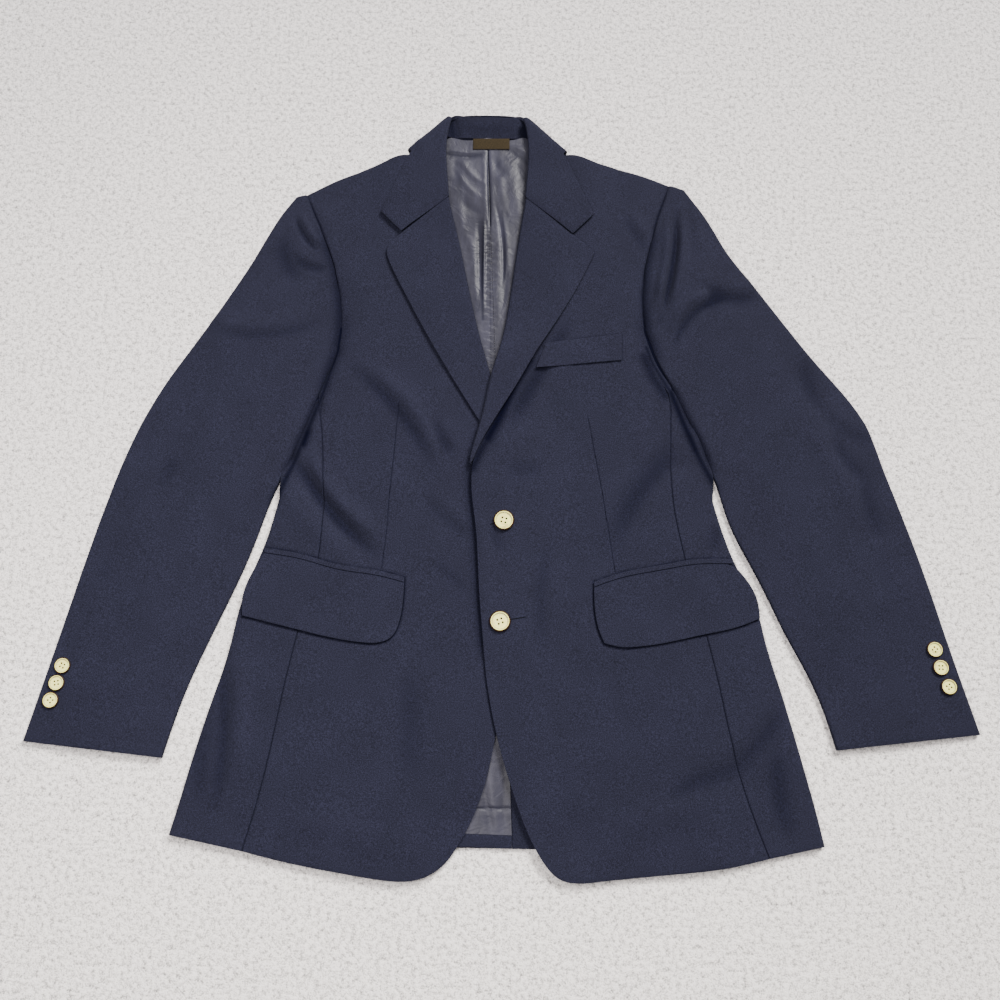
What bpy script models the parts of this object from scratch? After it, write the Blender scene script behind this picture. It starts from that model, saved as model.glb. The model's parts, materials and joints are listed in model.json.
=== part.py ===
"""Single breasted blazer, laid out flat and face up.

Tables are in millimetres: +X is the wearer's left, +Y is towards the collar, +Z is up,
y = 0 at the lowest point of the front hem. MM turns them into metres. Each piece is
named for the wearer's side.
"""

import math
from collections import namedtuple

import bmesh
import bpy
from mathutils import Vector

MM = 0.001

# Walls and gaps.
GAP = 0.3
CLOTH = 2.0
LINING = 1.0
LABEL = 0.6
FLAP = 2.0
JET = 1.2
WELT = 1.4

# Heights of the middle of each wall, in the order in which the layers lie.
BACK_LEVEL = CLOTH / 2
LINING_LEVEL = CLOTH + GAP + LINING / 2
FRONT_LEVEL = CLOTH + GAP + LINING + GAP + CLOTH / 2
LOFT = 1.5
MOST_LOFT = 3.0
LAYER = CLOTH + GAP

# Folds and turned edges.
SIDE_UNDER = 36.0
SLEEVE_UNDER = 14.0
SHOULDER_ROUND = 7.0
EDGE_DIP = 0.4  # creases sink the sleeve no further than this below its edge's level
HEM_COLUMNS = 4  # cells of the turned hem, of the vent's turned edge and of the label
VENT_COLUMNS = 2
VENT_ROWS = 6
LABEL_COLUMNS = 3
SHOULDER_STEPS = 20  # points that the shoulder's line is followed in
SPOT_ROWS = 60  # places tried down and across a sleeve to find its height at a point
SPOT_COLUMNS = 40
SLEEVE_EDGE_LEVEL = 5.0
SLEEVE_CROWN_LEVEL = 6.8
COLLAR_RADIUS = 1.25
COLLAR_BACK_RADIUS = 2.0
COLLAR_CENTRE = -14.5
COLLAR_TILT = -0.018
STAND_HEIGHT = 31.6
NECK_RISE = 2.6
NECK_ROOM = 2.2
NECK_RISE_Y = (690, 764)  # where the layers start and end their climb over the collar
NECK_RISE_X = (150, 92)  # the same, as a distance from the collar's centre
BESIDE_NECK = (100, 72)

# Where the left front climbs on to the right front, and on to the foot of its lapel.
FRONT_LAP_X = (60, 28)
FRONT_LAP_Y = (580, 545)
LAPEL_LAP_X = (46, 14)
LAPEL_LAP_TOP = (575, 545)
LAPEL_LAP_FOOT = (372, 415)

EASE_GAP = 0.5  # more room where two layers bend over each other
TURN_GAP = 2.9  # more room where a turned edge runs aslant

# Rows and columns of the panels' grids.
ARMHOLE_ROWS = 6
SEAM_ROWS = 14
BODY_ROWS = ARMHOLE_ROWS + 1 + SEAM_ROWS
SLEEVE_ROWS = 12
ARC_STEPS = 4
FRONT_COLUMNS = 11
SIDE_COLUMNS = 4
BACK_COLUMNS = 5
SLEEVE_COLUMNS = 8
LEAF_COLUMNS = 6
FLAP_COLUMNS = 10
SLEEVE_HEAD_SHARE = 0.26  # of the sleeve's outer line, beside the armhole
SIDE_START = 0.002  # share of its seam by which the side panel starts below the underarm
ARMHOLE_TURN = 20  # degrees that the sleeve's edge turns down beside the armhole

# Buttons.
FRONT_BUTTON = 20.5
CUFF_BUTTON = 15.5
BUTTON_STEPS = 16
HOLE_RADIUS = 0.9
HOLE_TURN = 30  # degrees
HOLE_SPREAD = 0.15  # of the diameter, from the centre

NAVY = (0.035, 0.04, 0.075, 1.0)
SATIN = (0.15, 0.145, 0.16, 1.0)
OLIVE = (0.05, 0.045, 0.03, 1.0)
HORN = (0.75, 0.62, 0.4, 1.0)


def table(columns, *rows):
    """Return the rows of a short table, with its columns named."""
    Row = namedtuple("Row", columns)
    return [Row(*row) for row in rows]


# Outlines, from the top down: a row for each point that the shape needs.
RIGHT_ARMHOLE = table(
    "x y",
    (-220, 739), (-204, 703), (-190, 671), (-180, 640), (-174, 608), (-172, 580), (-174, 554),
)
LEFT_ARMHOLE = table(
    "x y",
    (193, 750), (177, 710), (167, 675), (158, 640), (154, 608), (154, 590), (156, 577),
)
RIGHT_EDGE = table(
    "x y",
    (-82, 790), (-74, 765), (-63, 735), (-51, 676), (-39, 618), (-29, 570), (-14, 519),
    (-3, 470), (9, 425), (15, 390), (15, 346), (12, 280), (8, 210), (2, 170), (-4, 140),
    (-8, 116), (-16, 87), (-27, 57), (-42, 32),
)
LEFT_EDGE = table(
    "x y",
    (53, 790), (45, 765), (36, 735), (25, 676), (17, 618), (9, 570), (-5, 519),
    (-14, 470), (-24, 436), (-34, 406), (-31, 387), (-27, 368), (-24, 346), (-22, 288),
    (-17, 232), (-14, 193), (-7, 154), (1, 120), (15, 78), (32, 33), (43, 16),
)
RIGHT_SEAM = table(
    "x y",
    (-166, 548), (-173, 527), (-182, 505), (-190, 485), (-190, 460), (-186, 418),
    (-184, 379), (-184, 345), (-187, 310), (-205, 239), (-215, 187), (-224, 132),
    (-235, 75), (-247, 31),
)
LEFT_SEAM = table(
    "x y",
    (148.5, 570), (154, 551), (162, 530), (176, 507), (183, 485), (182, 452), (179, 412),
    (180, 372), (186, 339), (193, 300), (209, 237), (215, 205), (222, 165), (232, 104),
    (247, 52), (257, 24),
)
RIGHT_SIDE = table(
    "x y",
    (-173.5, 549), (-181, 524), (-190, 502), (-206, 458), (-221, 419), (-229, 392),
    (-234, 370), (-239, 346), (-245, 325), (-258, 296), (-266, 275), (-267, 255),
    (-270, 235), (-286, 177), (-299, 130), (-309, 86), (-319, 46),
)
LEFT_SIDE = table(
    "x y",
    (156, 572), (161, 550), (170, 530), (184, 504), (199, 467), (211, 438), (218, 415),
    (221, 400), (222, 380), (228, 358), (235, 330), (244, 303), (262, 274), (266, 257),
    (265, 243), (271, 219), (284, 168), (295, 118), (305, 75), (312, 35),
)
RIGHT_SLEEVE_OUT = table(
    "x y",
    (-233, 736), (-249, 713), (-273, 663), (-297, 619), (-330, 562), (-364, 508),
    (-391, 447), (-415, 366), (-436, 280), (-451, 215), (-470.5, 133.5),
)
LEFT_SLEEVE_OUT = table(
    "x y",
    (211, 744), (223, 726), (240, 698), (255, 665), (287, 619), (324, 561), (358, 514),
    (384, 480), (401, 443), (402, 427), (415, 380), (434, 311), (459, 201), (474.5, 139.5),
)
RIGHT_SLEEVE_IN = table(
    "x y",
    (-174, 554), (-183, 527), (-192, 505), (-208, 460), (-224, 420), (-241, 376),
    (-256, 325), (-291, 239), (-315, 179), (-331.5, 117.5),
)
LEFT_SLEEVE_IN = table(
    "x y",
    (156, 577), (162, 556), (170, 535), (184, 508), (200, 470), (212, 442), (224, 413),
    (238, 350), (254, 318), (274, 274), (291, 231), (314, 187), (330.5, 124.5),
)
RIGHT_HEM = table(
    "x y",
    (-42, 32), (-54, 17), (-70, 7), (-88, 3), (-114, 5), (-151, 11), (-206, 21), (-247, 31),
)
LEFT_HEM = table(
    "x y",
    (43, 16), (55, 4), (69, 1), (89, 3), (120, 6), (166, 10), (221, 16), (257, 24),
)
RIGHT_SHOULDER = table(
    "x y", (-82, 790), (-92, 787), (-104, 785), (-114, 786), (-130, 780), (-152, 771), (-190, 755),
    (-220, 739),
)
LEFT_SHOULDER = table(
    "x y", (53, 790), (63, 788), (75, 787), (85, 787), (97, 784), (115, 778), (164, 762), (193, 750)
)

# Lapels: a row for each section, from the gorge down to the break.
RIGHT_LAPEL = table(
    "roll_x roll_y edge_x edge_y radius lift",
    (-58, 733, -123, 677, 2.2, 0.3),
    (-57, 727, -128, 667, 2.2, 0.3),
    (-52, 705, -123, 651, 2.2, 0.3),
    (-46, 680, -114, 632, 2.2, 0.3),
    (-40, 650, -103, 610, 2.2, 0.3),
    (-34, 618, -91, 586, 2.2, 0.3),
    (-29, 594, -81, 567, 2.2, 0.3),
    (-24, 570, -70, 547, 2.0, 0.3),
    (-17, 545, -57, 524, 1.5, 0.3),
    (-10, 519, -44, 502, 1.25, 0.2),
    (-4, 496, -32, 482, 1.25, 0.1),
    (2, 470, -20, 462, 1.25, 0.0),
    (8, 445, -5, 440, 1.25, 0.0),
)
LEFT_LAPEL = table(
    "roll_x roll_y edge_x edge_y radius lift",
    (29, 731, 101, 669, 2.2, 0.3),
    (28, 723, 105, 663, 2.2, 0.3),
    (22, 690, 100, 651, 2.2, 0.3),
    (17, 655, 92, 634, 2.2, 0.5),
    (12, 618, 82, 614, 2.2, 1.0),
    (8, 590, 70, 593, 2.2, 1.6),
    (3, 563, 56, 570, 2.2, 2.6),
    (-3, 540, 43, 549, 2.2, 3.6),
    (-10, 519, 32, 530, 2.2, 4.6),
    (-14, 497, 20, 507, 2.2, 5.0),
    (-18, 477, 7, 486, 2.2, 4.4),
    (-23, 455, -6, 465, 2.0, 3.0),
    (-29, 434, -19, 443, 1.6, 1.2),
    (-34, 415, -29, 421, 1.25, 0.2),
)

# Collar, as distances from its centre: sections from the tip round to the shoulder bend,
# and then along the back of the neck, under the garment.
COLLAR_FRONT = table(
    "fold_x fold_y leaf_x leaf_y",
    (43, 734, 120, 713),
    (44, 748, 114, 727),
    (46, 768, 106, 745),
    (47, 786, 100, 759),
    (47, 803, 95, 772),
    (45, 822, 91, 782),
    (41, 836, 87, 789),
)
COLLAR_BACK = table(
    "fold_x fold_y leaf_x leaf_y",
    (39.5, 840, 87, 789),
    (34, 843, 72, 782),
    (24, 844.5, 42, 771),
    (12, 845, 19, 768),
    (0, 845, 0, 767),
)
COLLAR_BEND = (45, 90, 135)
SHOULDER_WAY = (0.68, 0.73)  # the way in which the collar bends over the shoulder
STAND_SLANT_Y = (780, 805)
STAND_SLANT_X = (13, 37)
TIP_SETTLE = 1.2  # the outer edge of the fall lies this much lower than its fold
NOTCH_X = 96.5
NOTCH_Y = 688.0
NOTCH_SHARE = 0.67

# Back: neck, shoulder and hem of one half, as distances from the centre line.
BACK_SHOULDER = table(
    "x y inset",
    (0, 812.6, 0.03), (30, 811.6, 0.05), (52, 803, 0.4), (74, 790, 1.5), (88, 785, 2.3), (98, 789, 2.6),
)
SHOULDER_BOW = 3.0
CENTRE_TOP = (-14.5, 812.6)
CENTRE_HEM = (11.5, 33)
BACK_HEM_Y = 33.0
SIDE_HEM_Y = 44.0
LEFT_HEM_DROP = 8.0
HEM_TURN = 12.0
HEM_SPAN = 310.0
VENT_TOP = 250.0
VENT_WIDTH = 40.0
VENT_LINING_Y = (VENT_TOP + 95, VENT_TOP + 45)  # where the lining's edge turns out to the vent
LINING_INSET = 14.0

# Pocket flaps and their jets, from the inner end to the side.
RIGHT_FLAP_TOP = table("x y", (-98, 291), (-124, 298), (-166, 304), (-207, 316), (-243, 322))
RIGHT_FLAP_HEM = table(
    "x y", (-109, 233), (-122, 229), (-141, 230), (-172, 235), (-205, 243), (-241, 252), (-261, 257)
)
RIGHT_FLAP_INNER = table("x y", (-98, 291), (-99, 268), (-103, 246), (-109, 233))
RIGHT_FLAP_OUTER = table("x y", (-243, 322), (-256, 297), (-263, 278), (-261, 257))
LEFT_FLAP_TOP = table("x y", (96, 286), (118, 294), (168, 304), (202, 310), (239, 310))
LEFT_FLAP_HEM = table(
    "x y", (105, 229), (116, 225), (135, 225), (165, 229), (206, 238), (240, 245), (263, 254)
)
LEFT_FLAP_INNER = table("x y", (96, 286), (96, 263), (100, 240), (105, 229))
LEFT_FLAP_OUTER = table("x y", (239, 310), (252, 294), (262, 275), (263, 254))
JET_WIDTH = 5.0

# Breast welt: a row for each end.
WELT_ENDS = table("top_x top_y low_x low_y", (50, 555, 39, 526), (133, 566, 132, 535))

LABEL_CORNER = (-31, 798)
LABEL_WIDTH = 42.0
LABEL_HEIGHT = 14.0

# Large soft folds: centre, heading in degrees, half length, half width and height.
BODY_FOLDS = table(
    "x y heading length width height",
    (-120, 600, 80, 130, 60, 1.2),
    (100, 610, 95, 130, 60, 1.2),
    (-178, 385, -50, 85, 17, -1.6),
    (-200, 360, -50, 70, 18, 1.0),
    (-150, 425, -55, 80, 26, 0.8),
    (190, 410, 60, 70, 20, -1.3),
    (165, 440, 70, 80, 24, 0.9),
    (-262, 160, 78, 90, 16, -1.3),
    (-225, 140, 80, 90, 18, 0.9),
    (235, 130, -70, 80, 18, -1.2),
    (190, 120, -75, 90, 22, 1.0),
    (120, 100, -80, 90, 26, -0.8),
    (-110, 110, 85, 100, 30, 0.8),
)
SLEEVE_FOLDS = table(
    "x y heading length width height",
    (-215, 690, -55, 45, 11, -1.0),
    (206, 690, 80, 75, 11, -1.4),
    (350, 430, 30, 45, 14, -1.0),
    (375, 465, 20, 40, 14, -0.8),
    (-340, 440, 150, 50, 18, -0.8),
    (-250, 480, 120, 60, 18, -0.9),
    (250, 480, 60, 60, 18, -0.9),
    (-380, 250, 105, 90, 20, -0.6),
    (385, 260, 75, 90, 20, -0.6),
)

# A button's profile: shares of its radius and heights at the front buttons' size.
BUTTON_PROFILE = table(
    "share height", (0.0, 1.9), (0.58, 1.9), (0.82, 3.2), (1.0, 2.3), (0.84, 0.0), (0.0, 0.0)
)
BUTTONS = table(
    "name x y diameter",
    ("front_button_upper", 4, 356, FRONT_BUTTON),
    ("front_button_lower", 0, 251, FRONT_BUTTON),
)
CUFF_BUTTONS = table(
    "name x y diameter",
    ("right_cuff_button_1", -438, 207, CUFF_BUTTON),
    ("right_cuff_button_2", -442, 190, CUFF_BUTTON),
    ("right_cuff_button_3", -446, 173, CUFF_BUTTON),
    ("left_cuff_button_1", 437, 223, CUFF_BUTTON),
    ("left_cuff_button_2", 441, 205, CUFF_BUTTON),
    ("left_cuff_button_3", 447, 186, CUFF_BUTTON),
)


def clear_scene():
    for old in list(bpy.data.objects):
        bpy.data.objects.remove(old, do_unlink=True)


def collection(name):
    made = bpy.data.collections.new(name)
    bpy.context.scene.collection.children.link(made)
    return made


def finish_of(name, colour, roughness, metallic=0.0):
    material = bpy.data.materials.new(name)
    material.use_nodes = True
    shader = material.node_tree.nodes["Principled BSDF"]
    shader.inputs["Base Color"].default_value = colour
    shader.inputs["Roughness"].default_value = roughness
    shader.inputs["Metallic"].default_value = metallic
    return material


def ease(value, start, end):
    """Rise smoothly from 0 at start to 1 at end."""
    share = min(max((value - start) / (end - start), 0.0), 1.0)
    return share * share * (3.0 - 2.0 * share)


class Line:
    """A smooth line through the points of a table; at(0) is its start and at(1) its end."""

    def __init__(self, rows):
        self.points = [Vector((row.x, row.y)) for row in rows]
        self.steps = [(b - a).length for a, b in zip(self.points, self.points[1:])]
        self.length = sum(self.steps)

    def slope(self, index):
        if index == 0:
            return (self.points[1] - self.points[0]) / self.steps[0]
        if index == len(self.steps):
            return (self.points[-1] - self.points[-2]) / self.steps[-1]
        before, after = self.steps[index - 1], self.steps[index]
        back = (self.points[index] - self.points[index - 1]) / before
        ahead = (self.points[index + 1] - self.points[index]) / after
        return (back * after + ahead * before) / (before + after)

    def at(self, share):
        left = min(max(share, 0.0), 1.0) * self.length
        index = 0
        while index < len(self.steps) - 1 and left > self.steps[index]:
            left -= self.steps[index]
            index += 1
        step = self.steps[index]
        t = left / step
        start, end = self.points[index], self.points[index + 1]
        turn = t * t * (3.0 - 2.0 * t)
        place = start.lerp(end, turn)
        place += self.slope(index) * step * t * (1.0 - t) ** 2
        place -= self.slope(index + 1) * step * t * t * (1.0 - t)
        return place


def chained(first, second, share):
    """One line made of two, the first taking this share of it."""
    return lambda t: first(t / share) if t < share else second((t - share) / (1.0 - share))


def with_underarm(armhole, seam):
    """The armhole, and a row below its end the seam: together the outer side of the body."""

    def place(share):
        row = share * BODY_ROWS
        if row < ARMHOLE_ROWS + 0.5:
            return armhole(row / ARMHOLE_ROWS)
        return seam(max(row - ARMHOLE_ROWS - 1, 0.0) / SEAM_ROWS)

    return place


def moved(line, distance):
    """A line moved sideways, towards +X where it runs down the garment."""
    small = 0.01

    def place(t):
        ahead = line(min(t + small, 1.0)) - line(max(t - small, 0.0))
        ahead.normalize()
        return line(t) + Vector((-ahead.y, ahead.x)) * distance

    return place


def patch(top, bottom, start, end):
    """A surface between four lines: start and end run down it, top and bottom across it."""

    def place(u, v):
        across = top(u) * (1 - v) + bottom(u) * v
        down = start(v) * (1 - u) + end(v) * u
        upper = start(0) * (1 - u) + end(0) * u
        lower = start(1) * (1 - u) + end(1) * u
        return across + down - upper * (1 - v) - lower * v

    return place


def folds_at(folds, x, y):
    total = 0.0
    for fold in folds:
        heading = math.radians(fold.heading)
        along = (x - fold.x) * math.cos(heading) + (y - fold.y) * math.sin(heading)
        across = (y - fold.y) * math.cos(heading) - (x - fold.x) * math.sin(heading)
        total += fold.height * math.exp(-((across / fold.width) ** 2) - (along / fold.length) ** 2)
    return total


def neck_rise(x, y):
    """The lift of every layer that lies over the back of the collar."""
    return NECK_RISE * ease(y, *NECK_RISE_Y) * ease(abs(x - COLLAR_CENTRE), *NECK_RISE_X)


def loft(x, y):
    return min(max(LOFT + folds_at(BODY_FOLDS, x, y), 0.0), MOST_LOFT)


def rise_room(x, y):
    """More room between the layers where they climb over the collar."""
    share = neck_rise(x, y) / NECK_RISE
    return TURN_GAP * 2 * share * (1 - share)


def right_level(x, y):
    """The height of the middle of the right front and side panel."""
    return FRONT_LEVEL + loft(x, y) + neck_rise(x, y) + rise_room(x, y)


def left_level(x, y):
    """The left front lies over the right front, and over the end of its lapel."""
    over_front = ease(x, *FRONT_LAP_X) * ease(y, *FRONT_LAP_Y)
    over_lapel = ease(x, *LAPEL_LAP_X) * ease(y, *LAPEL_LAP_TOP) * ease(y, *LAPEL_LAP_FOOT)
    return right_level(x, y) + LAYER * over_front + (LAYER + GAP) * over_lapel


def back_level(x, y):
    return BACK_LEVEL + neck_rise(x, y)


def lining_level(x, y):
    return LINING_LEVEL + neck_rise(x, y) + rise_room(x, y)


def add_object(name, mesh, material, group):
    mesh.materials.append(material)
    made = bpy.data.objects.new(name, mesh)
    group.objects.link(made)
    return made


def sheet(name, columns, rows, place, wall, material, group):
    """A grid of cloth with each corner at place(column, row), and a wall of this thickness."""
    grid = bmesh.new()
    bmesh.ops.create_grid(grid, x_segments=columns, y_segments=rows, size=0.5)
    for vertex in grid.verts:
        column = round((vertex.co.x + 0.5) * columns)
        row = round((vertex.co.y + 0.5) * rows)
        vertex.co = Vector(place(column, row)) * MM
    mesh = bpy.data.meshes.new(name)
    grid.to_mesh(mesh)
    grid.free()
    made = add_object(name, mesh, material, group)
    shell = made.modifiers.new("wall", "SOLIDIFY")
    shell.thickness = wall * MM
    shell.offset = 0.0
    shell.use_even_offset = True
    return made


def on_level(surface, level, columns, rows):
    """Turn a flat surface and a height into the place of each grid corner."""

    def place(column, row):
        flat = surface(column / columns, row / rows)
        return flat.x, flat.y, level(flat.x, flat.y)

    return place


def turned_edge(degrees, radius, run):
    """Offsets outward and down from where a wall starts to turn over an edge."""
    offsets = []
    for step in range(1, ARC_STEPS + 1):
        angle = math.radians(degrees * step / ARC_STEPS)
        offsets.append((radius * math.sin(angle), radius * (1 - math.cos(angle))))
    end = math.radians(degrees)
    out, down = offsets[-1]
    for step in (0.5, 1.0):
        offsets.append((out + run * step * math.cos(end), down + run * step * math.sin(end)))
    return offsets


Side = namedtuple(
    "Side",
    "name sign armhole edge seam side sleeve_out sleeve_in hem shoulder lapel level"
    " flap_top flap_hem flap_inner flap_outer",
)

SIDES = (
    Side(
        "right", -1, RIGHT_ARMHOLE, RIGHT_EDGE, RIGHT_SEAM, RIGHT_SIDE, RIGHT_SLEEVE_OUT,
        RIGHT_SLEEVE_IN, RIGHT_HEM, RIGHT_SHOULDER, RIGHT_LAPEL, right_level,
        RIGHT_FLAP_TOP, RIGHT_FLAP_HEM, RIGHT_FLAP_INNER, RIGHT_FLAP_OUTER,
    ),
    Side(
        "left", 1, LEFT_ARMHOLE, LEFT_EDGE, LEFT_SEAM, LEFT_SIDE, LEFT_SLEEVE_OUT,
        LEFT_SLEEVE_IN, LEFT_HEM, LEFT_SHOULDER, LEFT_LAPEL, left_level,
        LEFT_FLAP_TOP, LEFT_FLAP_HEM, LEFT_FLAP_INNER, LEFT_FLAP_OUTER,
    ),
)


def seam_line(side, inset):
    """The armhole and then the seam of the side panel, moved towards the front."""
    armhole = moved(Line(side.armhole).at, -side.sign * inset)
    seam = moved(Line(side.seam).at, -side.sign * inset)
    return with_underarm(armhole, seam)


def make_front(side, material, group):
    columns, rows = FRONT_COLUMNS, BODY_ROWS
    surface = patch(
        Line(side.shoulder).at, Line(side.hem).at, Line(side.edge).at, seam_line(side, GAP)
    )
    shoulder = [Line(side.shoulder).at(step / SHOULDER_STEPS) for step in range(SHOULDER_STEPS + 1)]

    def place(column, row):
        flat = surface(column / columns, row / rows)
        level = side.level(flat.x, flat.y)
        beside_neck = ease(abs(flat.x - COLLAR_CENTRE), *BESIDE_NECK)
        rest = back_level(flat.x, flat.y) + LAYER + NECK_ROOM * beside_neck
        near = min((flat - point).length for point in shoulder) / SHOULDER_ROUND
        drop = 1 - math.sqrt(max(0.0, 1 - (1 - min(near, 1.0)) ** 2))
        return flat.x, flat.y, level + (rest - level) * drop

    sheet(side.name + "_front", columns, rows, place, CLOTH, material, group)


SideSection = namedtuple("SideSection", "start across reach radius run level")


def side_section(side, share):
    """One section of the side panel: its top run, the radius of its fold and its under run."""
    start = moved(Line(side.seam).at, side.sign * GAP)(share)
    end = Line(side.side).at(share)
    across = end - start
    width = across.length
    across.normalize()
    level = side.level(*end)
    radius = (level - BACK_LEVEL) / 2
    reach = width - radius - CLOTH / 2
    return SideSection(start, across, reach, radius, min(SIDE_UNDER, 0.8 * width), level)


def make_side(side, material, group):
    """The side panel runs from its seam over the top, round the side and under to the back."""
    tops = SIDE_COLUMNS
    rows = SEAM_ROWS

    def place(column, row):
        section = side_section(side, max(row / rows, SIDE_START))
        if column <= tops:
            flat = section.start + section.across * section.reach * column / tops
            settled = ease(column, 2, tops)
            level = side.level(flat.x, flat.y) * (1 - settled) + section.level * settled
            return flat.x, flat.y, level
        out, down = turned_edge(180, section.radius, section.run)[column - tops - 1]
        flat = section.start + section.across * (section.reach + out)
        return flat.x, flat.y, section.level - down

    sheet(side.name + "_side_panel", tops + ARC_STEPS + 2, rows, place, CLOTH, material, group)


def sleeve_rows(side):
    """The inner and outer point of each section of the sleeve."""
    rows = ARMHOLE_ROWS + SLEEVE_ROWS
    share = ARMHOLE_ROWS / rows
    inner = chained(
        moved(Line(side.armhole).at, side.sign * GAP),
        Line(side.sleeve_in).at,
        share,
    )
    outer_line = Line(side.sleeve_out).at
    head = SLEEVE_HEAD_SHARE
    outer = chained(lambda t: outer_line(t * head), lambda t: outer_line(head + t * (1 - head)), share)
    return inner, outer


def sleeve_level(side, row, share, flat):
    """The height of the middle of the topsleeve, at a share of its width from the inner edge."""
    joined = 1 - ease(row, ARMHOLE_ROWS - 1, ARMHOLE_ROWS + 2)
    inner = SLEEVE_EDGE_LEVEL * (1 - joined) + side.level(flat.x, flat.y) * joined
    crown = SLEEVE_CROWN_LEVEL * math.sin(math.pi * min(max(share, 0.0), 1.0)) ** 0.5
    edge = inner + (SLEEVE_EDGE_LEVEL - inner) * ease(share, 0.0, 0.5)
    rise = max(crown - SLEEVE_EDGE_LEVEL, 0.0)
    level = edge + rise * (1 - joined * (1 - ease(share, 0.0, 0.4)))
    creases = folds_at(SLEEVE_FOLDS, flat.x, flat.y) * ease(share, 0.0, 0.15) * ease(share, 1.0, 0.85)
    head = ease(row, -1, 2)
    return SLEEVE_EDGE_LEVEL + (max(level + creases, SLEEVE_EDGE_LEVEL - EDGE_DIP) - SLEEVE_EDGE_LEVEL) * head


def sleeve_place(side, row, share):
    """A point of the topsleeve's upper face, at a row and a share of the width."""
    inner, outer = sleeve_rows(side)
    rows = ARMHOLE_ROWS + SLEEVE_ROWS
    start, end = inner(row / rows), outer(row / rows)
    across = end - start
    width = across.length
    across.normalize()
    free = ease(row, ARMHOLE_ROWS - 1.5, ARMHOLE_ROWS + 1.5)
    in_level = sleeve_level(side, row, 0.0, start)
    in_turn = ARMHOLE_TURN + (180 - ARMHOLE_TURN) * free
    in_radius = (in_level - BACK_LEVEL) / 2
    turned_down = in_radius * (1 - math.cos(math.radians(in_turn)))
    most_run = (in_level - BACK_LEVEL - turned_down) / max(math.sin(math.radians(in_turn)), 0.01)
    in_run = 1.0 + (SLEEVE_UNDER - 1.0) * free ** 3
    in_run = SLEEVE_UNDER if in_turn > 179 else min(in_run, most_run + 0.2)
    out_radius = (SLEEVE_EDGE_LEVEL - BACK_LEVEL) / 2
    in_edge = turned_edge(in_turn, in_radius, in_run)
    out_edge = turned_edge(180, out_radius, min(SLEEVE_UNDER, 0.3 * width))
    in_reach = max(out for out, down in in_edge) + CLOTH / 2
    out_reach = out_radius + CLOTH / 2
    first = start + across * in_reach
    last = end - across * out_reach
    flat = first.lerp(last, share)
    return flat, across, first, last, in_edge, out_edge, in_level


def make_sleeve(side, material, group):
    tops = SLEEVE_COLUMNS
    turn = ARC_STEPS + 2
    rows = ARMHOLE_ROWS + SLEEVE_ROWS

    def place(column, row):
        top = min(max(column - turn, 0), tops)
        flat, across, first, last, in_edge, out_edge, in_level = sleeve_place(side, row, top / tops)
        if column < turn:
            out, down = in_edge[turn - 1 - column]
            flat = first - across * out
            return flat.x, flat.y, in_level - down
        if column > turn + tops:
            out, down = out_edge[column - turn - tops - 1]
            flat = last + across * out
            return flat.x, flat.y, SLEEVE_EDGE_LEVEL - down
        return flat.x, flat.y, sleeve_level(side, row, top / tops, flat)

    sheet(side.name + "_topsleeve", tops + 2 * turn, rows, place, CLOTH, material, group)


def make_undersleeve(side, material, group):
    """The undersleeve lies between the two turned-under edges of the topsleeve."""
    first_row = 1
    rows = ARMHOLE_ROWS + SLEEVE_ROWS - first_row

    def place(column, row):
        section = sleeve_place(side, row + first_row, 0.0)
        flat, across, first, last, in_edge, out_edge, in_level = section
        beside = -min(in_edge[-1][0], 0.0)
        start = first + across * (beside + 2 * GAP)
        end = last + across * (out_edge[-1][0] - 2 * GAP)
        flat = start.lerp(end, column / 3)
        return flat.x, flat.y, BACK_LEVEL

    sheet(side.name + "_undersleeve", 3, rows, place, CLOTH, material, group)


def centre_line(share):
    return Vector(CENTRE_TOP).lerp(Vector(CENTRE_HEM), share)


def back_outer(side, inset):
    """The back's armhole, then its side seam, which lies under the garment."""
    armhole = moved(Line(side.armhole).at, -side.sign * (GAP + inset))

    def seam(share):
        section = side_section(side, share)
        return section.start + section.across * (section.reach - section.run - GAP - inset)

    return with_underarm(armhole, seam)


def back_top(side, inset):
    """The neck seam and the shoulder of a back half, from its centre to the armhole."""
    points = []
    for row in BACK_SHOULDER:
        points.append(Vector((COLLAR_CENTRE + side.sign * row.x, row.y - inset * row.inset)))
    down = inset * BACK_SHOULDER[-1].inset
    tip = Line(side.armhole).at(0) + Vector((-side.sign * (GAP + inset), -down))
    points.append(points[-1].lerp(tip, 0.5) + Vector((0, SHOULDER_BOW)))
    points.append(tip)
    Point = namedtuple("Point", "x y")
    return Line([Point(*point) for point in points]).at


def hem_line(x, lift):
    """A point of the back's hem, which drops towards its centre."""
    share = abs(x - CENTRE_HEM[0]) / HEM_SPAN
    rise = SIDE_HEM_Y if x < 0 else SIDE_HEM_Y - LEFT_HEM_DROP
    return Vector((x, BACK_HEM_Y + (rise - BACK_HEM_Y) * share + lift))


def make_back(side, material, group):
    columns, rows = BACK_COLUMNS, BODY_ROWS
    outer, top = back_outer(side, 0.0), back_top(side, 0.0)
    beside = Vector((side.sign * GAP / 2, 0))
    start = Vector(CENTRE_HEM) + beside
    end = outer(1.0)
    surface = patch(
        lambda u: top(u) + beside * (1 - u),
        lambda u: start.lerp(end, u),
        lambda v: (top(0) + beside).lerp(start, v),
        outer,
    )
    place = on_level(surface, back_level, columns, rows)
    sheet(side.name + "_back", columns, rows, place, CLOTH, material, group)


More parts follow.
